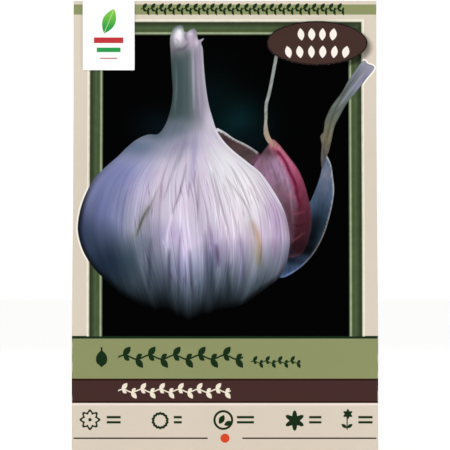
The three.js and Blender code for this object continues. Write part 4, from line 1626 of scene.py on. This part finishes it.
def make_label(name, low, high, outline, material, replaced):
    """A paper label: its back, its edge with a small round-over and its face, drawn in rings
    from the middle of the back round to the middle of the face."""
    half = (high - low) / 2
    middle = (high + low) / 2
    quarter = np.linspace(0, 0.5 * np.pi, QUARTER_STEPS)
    turn = np.concatenate([quarter + k * 0.5 * np.pi for k in range(4)])
    first = np.arange(len(turn)) % QUARTER_STEPS == 0
    turn = np.append(turn + np.where(first, QUARTER_NUDGE, -QUARTER_NUDGE), QUARTER_NUDGE)
    edge_x, edge_z = outline(half[0], half[2], turn)
    thickness = high[1] - low[1]
    curl = np.linspace(0, np.pi, EDGE_RINGS)
    flat = np.linspace(1, EDGE_INSET, FLAT_RINGS)
    inset = np.concatenate([flat, EDGE_BULGE * (1 - np.sin(curl)), flat[::-1]])
    share = np.concatenate([np.zeros(FLAT_RINGS), 0.5 - 0.5 * np.cos(curl), np.ones(FLAT_RINGS)])
    x = middle[0] + edge_x[None, :] * (1 - inset)[:, None]
    z = middle[2] + edge_z[None, :] * (1 - inset)[:, None]
    y = np.broadcast_to((high[1] - thickness * share)[:, None], x.shape)
    label = grid_object(name, x, y, z)
    weld(label)
    finish_piece(label, material, replaced)


def weld(piece):
    """Joins the points of a mesh that lie in one place, which closes its seams and poles."""
    shape = bmesh.new()
    shape.from_mesh(piece.data)
    bmesh.ops.remove_doubles(shape, verts=shape.verts, dist=2e-8)
    bmesh.ops.dissolve_degenerate(shape, edges=shape.edges, dist=1e-9)
    bmesh.ops.recalc_face_normals(shape, faces=shape.faces)
    shape.to_mesh(piece.data)
    shape.free()


def make_seed_bulb(name, node, material):
    """A garlic bulb: the radius follows the height along a turned outline, and round the axis
    it swells over each clove by the cosine of the clove count times the angle, most at the
    widest part and not at all at the root and neck."""
    low, high = (np.array(corner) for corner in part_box(node))
    radius = (high[0] - low[0]) / 2
    middle = (high + low) / 2
    turns = np.linspace(0, 2 * np.pi, BULB_TURN_STEPS)
    turn, way = np.meshgrid(turns, np.linspace(0, 1, BULB_HEIGHT_STEPS))
    outline = np.interp(way, *zip(*SEED_BULB_OUTLINE))
    for _ in range(OUTLINE_SMOOTHING):
        outline[1:-1] = (outline[:-2] + 2 * outline[1:-1] + outline[2:]) / 4
    cloves = bpy.context.scene.packet_handling.clove_count
    lobes = 0.5 - 0.5 * np.cos(cloves * (turn + 0.5 * way))
    depth = CLOVE_HOLLOW * np.sin(np.pi * np.clip(way / 0.8, 0, 1))
    ribs = SKIN_RIB * np.sin(31 * turn + 2 * way) * np.sin(np.pi * way)
    across = radius * outline * (1 - depth * lobes + ribs)
    x = middle[0] + across * np.cos(turn)
    y = middle[1] + across * np.sin(turn)
    z = low[2] + (high[2] - low[2]) * way
    bulb = grid_object(name, x, y, z)
    flow = np.stack([turn, 4 * way, np.zeros(way.shape)], -1)
    add_layers(bulb, {"skin_flow": flow})
    weld(bulb)
    finish_piece(bulb, material, node)


def make_floor():
    """The level floor under the packet."""
    steps = np.linspace(-1, 1, FLOOR_STEPS) * FLOOR_HALF
    x, y = np.meshgrid(steps, steps)
    floor = grid_object("floor", x, y, np.full(x.shape, FLOOR_DROP))
    floor.data.materials.append(floor_material())


def add_light(name, place, power):
    """A soft round light that faces the middle of the packet and stays out of sight."""
    lamp = bpy.data.lights.new(name, "AREA")
    lamp.shape = "DISK"
    lamp.size = LIGHT_SIZE
    lamp.energy = power
    light = bpy.data.objects.new(name, lamp)
    light.location = place
    aim = Vector((0, 0, HEIGHT / 2)) - Vector(place)
    light.rotation_euler = aim.to_track_quat("-Z", "Y").to_euler()
    light.visible_camera = False
    bpy.context.scene.collection.objects.link(light)


def make_world():
    """An even white surround: brighter to the camera than as light."""
    stage = bpy.context.scene.packet_stage
    world = bpy.data.worlds.new("pale_room")
    world.use_nodes = True
    tree = world.node_tree
    rays = add_node(tree, "ShaderNodeLightPath", {}).outputs["Is Camera Ray"]
    levels = {"Value": rays, "To Min": stage.room_light, "To Max": BACKDROP_WHITE}
    strength = add_node(tree, "ShaderNodeMapRange", levels)
    background = tree.nodes["Background"]
    background.inputs["Color"].default_value = (1.0, 1.0, 1.0, 1.0)
    feed(tree, background.inputs["Strength"], strength.outputs["Result"])
    bpy.context.scene.world = world


def make_camera():
    """A long lens level with the packet's middle, far enough that its sides stay parallel."""
    stage = bpy.context.scene.packet_stage
    lens = bpy.data.cameras.new("camera")
    lens.sensor_width = SENSOR_WIDTH
    lens.lens = lens.sensor_width * stage.camera_distance / stage.view_height
    camera = bpy.data.objects.new("camera", lens)
    camera.location = (stage.camera_side, -stage.camera_distance, stage.view_middle)
    camera.rotation_euler = (float(np.pi) / 2, 0, 0)
    bpy.context.scene.collection.objects.link(camera)
    bpy.context.scene.camera = camera


# ---- Settings -------------------------------------------------------------------------


def colour_property(name, description, colour):
    """A colour setting whose default is given as seen, from 0 to 255."""
    default = ink(colour)[:3]
    return bpy.props.FloatVectorProperty(
        name=name, description=description, default=default, subtype="COLOR", size=3, min=0, max=1
    )


def length_property(name, description, default):
    """A length setting in metres."""
    return bpy.props.FloatProperty(
        name=name, description=description, default=default, min=0, unit="LENGTH", precision=4
    )


class PacketInks(bpy.types.PropertyGroup):
    """The colours of the packet's print and labels."""

    ground: colour_property("Ground", "The beige that the whole bag is printed with", BEIGE)
    olive: colour_property("Olive", "The wide level band and the strip at the top", OLIVE)
    brown: colour_property("Brown", "The narrow level band under the wide one", BROWN)
    white_label: colour_property("White label", "The ground of the upright label", (250, 251, 249))
    brown_label: colour_property("Brown label", "The ground of the oval label", (64, 42, 37))
    garlic_skin: colour_property("Garlic skin", "The dry skin of the bulbs inside", (222, 212, 222))


class PacketHandling(bpy.types.PropertyGroup):
    """What filling and handling have done to the packet."""

    bulb_swell: length_property("Swell", "How far the paper stands out over a bulb", 0.00045)
    wear_reach: length_property("Wear", "How far rubbed print reaches in from a fold", 0.00045)
    clove_count: bpy.props.IntProperty(
        name="Cloves", description="Cloves in each bulb inside", default=7, min=3, max=14
    )


class PacketStage(bpy.types.PropertyGroup):
    """The floor, the lights and the camera."""

    floor_colour: colour_property("Floor", "The floor's colour", (247, 247, 246))
    room_light: bpy.props.FloatProperty(
        name="Room light", description="Light from all round", default=0.62, min=0
    )
    floor_glow: bpy.props.FloatProperty(
        name="Floor glow", description="Light that the floor gives of its own", default=0.42, min=0
    )
    key_power: bpy.props.FloatProperty(
        name="Key light", description="The large light in front", default=7.0, min=0, unit="POWER"
    )
    camera_distance: length_property("Distance", "From the camera to the packet's middle", 3.0)
    view_height: length_property("View", "How much height the view takes in there", 0.1594)
    view_middle: length_property("Middle", "The height of the view's middle", 0.0796)
    camera_side: bpy.props.FloatProperty(
        name="Sideways", description="How far right of the middle", default=0.0, unit="LENGTH"
    )


# ---- Operators ------------------------------------------------------------------------


class SEEDPACKET_OT_front(bpy.types.Operator):
    """Builds the printed front panel"""

    bl_idname = "seed_packet.front"
    bl_label = "Printed front"

    def execute(self, context):
        make_front()
        return {"FINISHED"}


class SEEDPACKET_OT_folded_panels(bpy.types.Operator):
    """Builds the back and the two folded sides"""

    bl_idname = "seed_packet.folded_panels"
    bl_label = "Back and sides"

    def execute(self, context):
        material = folded_paper_material()
        make_back(material)
        make_sides(material)
        return {"FINISHED"}


class SEEDPACKET_OT_ends(bpy.types.Operator):
    """Builds the folded foot and the pinched mouth"""

    bl_idname = "seed_packet.ends"
    bl_label = "Foot and mouth"

    def execute(self, context):
        material = bare_paper_material()
        make_foot(material)
        make_mouth(material)
        return {"FINISHED"}


class SEEDPACKET_OT_labels(bpy.types.Operator):
    """Builds the white label and the brown oval label"""

    bl_idname = "seed_packet.labels"
    bl_label = "Labels"

    def execute(self, context):
        white = leaf_label_material()
        brown = oval_label_material()
        make_label("leaf_label", LEAF_LOW, LEAF_HIGH, card_outline, white, "leaf_sticker")
        make_label("oval_label", OVAL_LOW, OVAL_HIGH, oval_outline, brown, "oval_sticker")
        return {"FINISHED"}


class SEEDPACKET_OT_seed_bulbs(bpy.types.Operator):
    """Builds the two garlic bulbs inside the bag"""

    bl_idname = "seed_packet.seed_bulbs"
    bl_label = "Seed bulbs"

    def execute(self, context):
        material = garlic_skin_material()
        make_seed_bulb("garlic_bulb_left", "seed_bulb_left", material)
        make_seed_bulb("garlic_bulb_right", "seed_bulb_right", material)
        return {"FINISHED"}


class SEEDPACKET_OT_stage(bpy.types.Operator):
    """Builds the floor, the lights and the camera"""

    bl_idname = "seed_packet.stage"
    bl_label = "Stage"

    def execute(self, context):
        power = context.scene.packet_stage.key_power
        make_world()
        make_floor()
        make_camera()
        for name, place, share in LIGHTS:
            add_light(name, place, share * power)
        context.scene.view_settings.view_transform = "Standard"
        return {"FINISHED"}


class SEEDPACKET_PT_parts(bpy.types.Panel):
    """Lists the packet's builders and settings"""

    bl_idname = "SEEDPACKET_PT_parts"
    bl_label = "Seed packet"
    bl_space_type = "VIEW_3D"
    bl_region_type = "UI"
    bl_category = "Seed packet"

    def draw(self, context):
        for operator in OPERATORS:
            self.layout.operator(operator.bl_idname)
        for settings in SETTINGS:
            group = getattr(context.scene, settings)
            for name in group.bl_rna.properties.keys():
                if name not in ("rna_type", "name"):
                    self.layout.prop(group, name)


OPERATORS = (
    SEEDPACKET_OT_front,
    SEEDPACKET_OT_folded_panels,
    SEEDPACKET_OT_ends,
    SEEDPACKET_OT_labels,
    SEEDPACKET_OT_seed_bulbs,
    SEEDPACKET_OT_stage,
)
SETTINGS = {
    "packet_inks": PacketInks,
    "packet_handling": PacketHandling,
    "packet_stage": PacketStage,
}


def register():
    """Registers the settings, the operators and the panel."""
    for name, group in SETTINGS.items():
        bpy.utils.register_class(group)
        setattr(bpy.types.Scene, name, bpy.props.PointerProperty(type=group))
    for operator in OPERATORS:
        bpy.utils.register_class(operator)
    bpy.utils.register_class(SEEDPACKET_PT_parts)


def unregister():
    """Takes them all out again."""
    bpy.utils.unregister_class(SEEDPACKET_PT_parts)
    for operator in reversed(OPERATORS):
        bpy.utils.unregister_class(operator)
    for name, group in SETTINGS.items():
        delattr(bpy.types.Scene, name)
        bpy.utils.unregister_class(group)


def main():
    """Builds every piece and the stage."""
    register()
    bpy.ops.seed_packet.front()
    bpy.ops.seed_packet.folded_panels()
    bpy.ops.seed_packet.ends()
    bpy.ops.seed_packet.labels()
    bpy.ops.seed_packet.seed_bulbs()
    bpy.ops.seed_packet.stage()


if __name__ == "__main__":
    main()
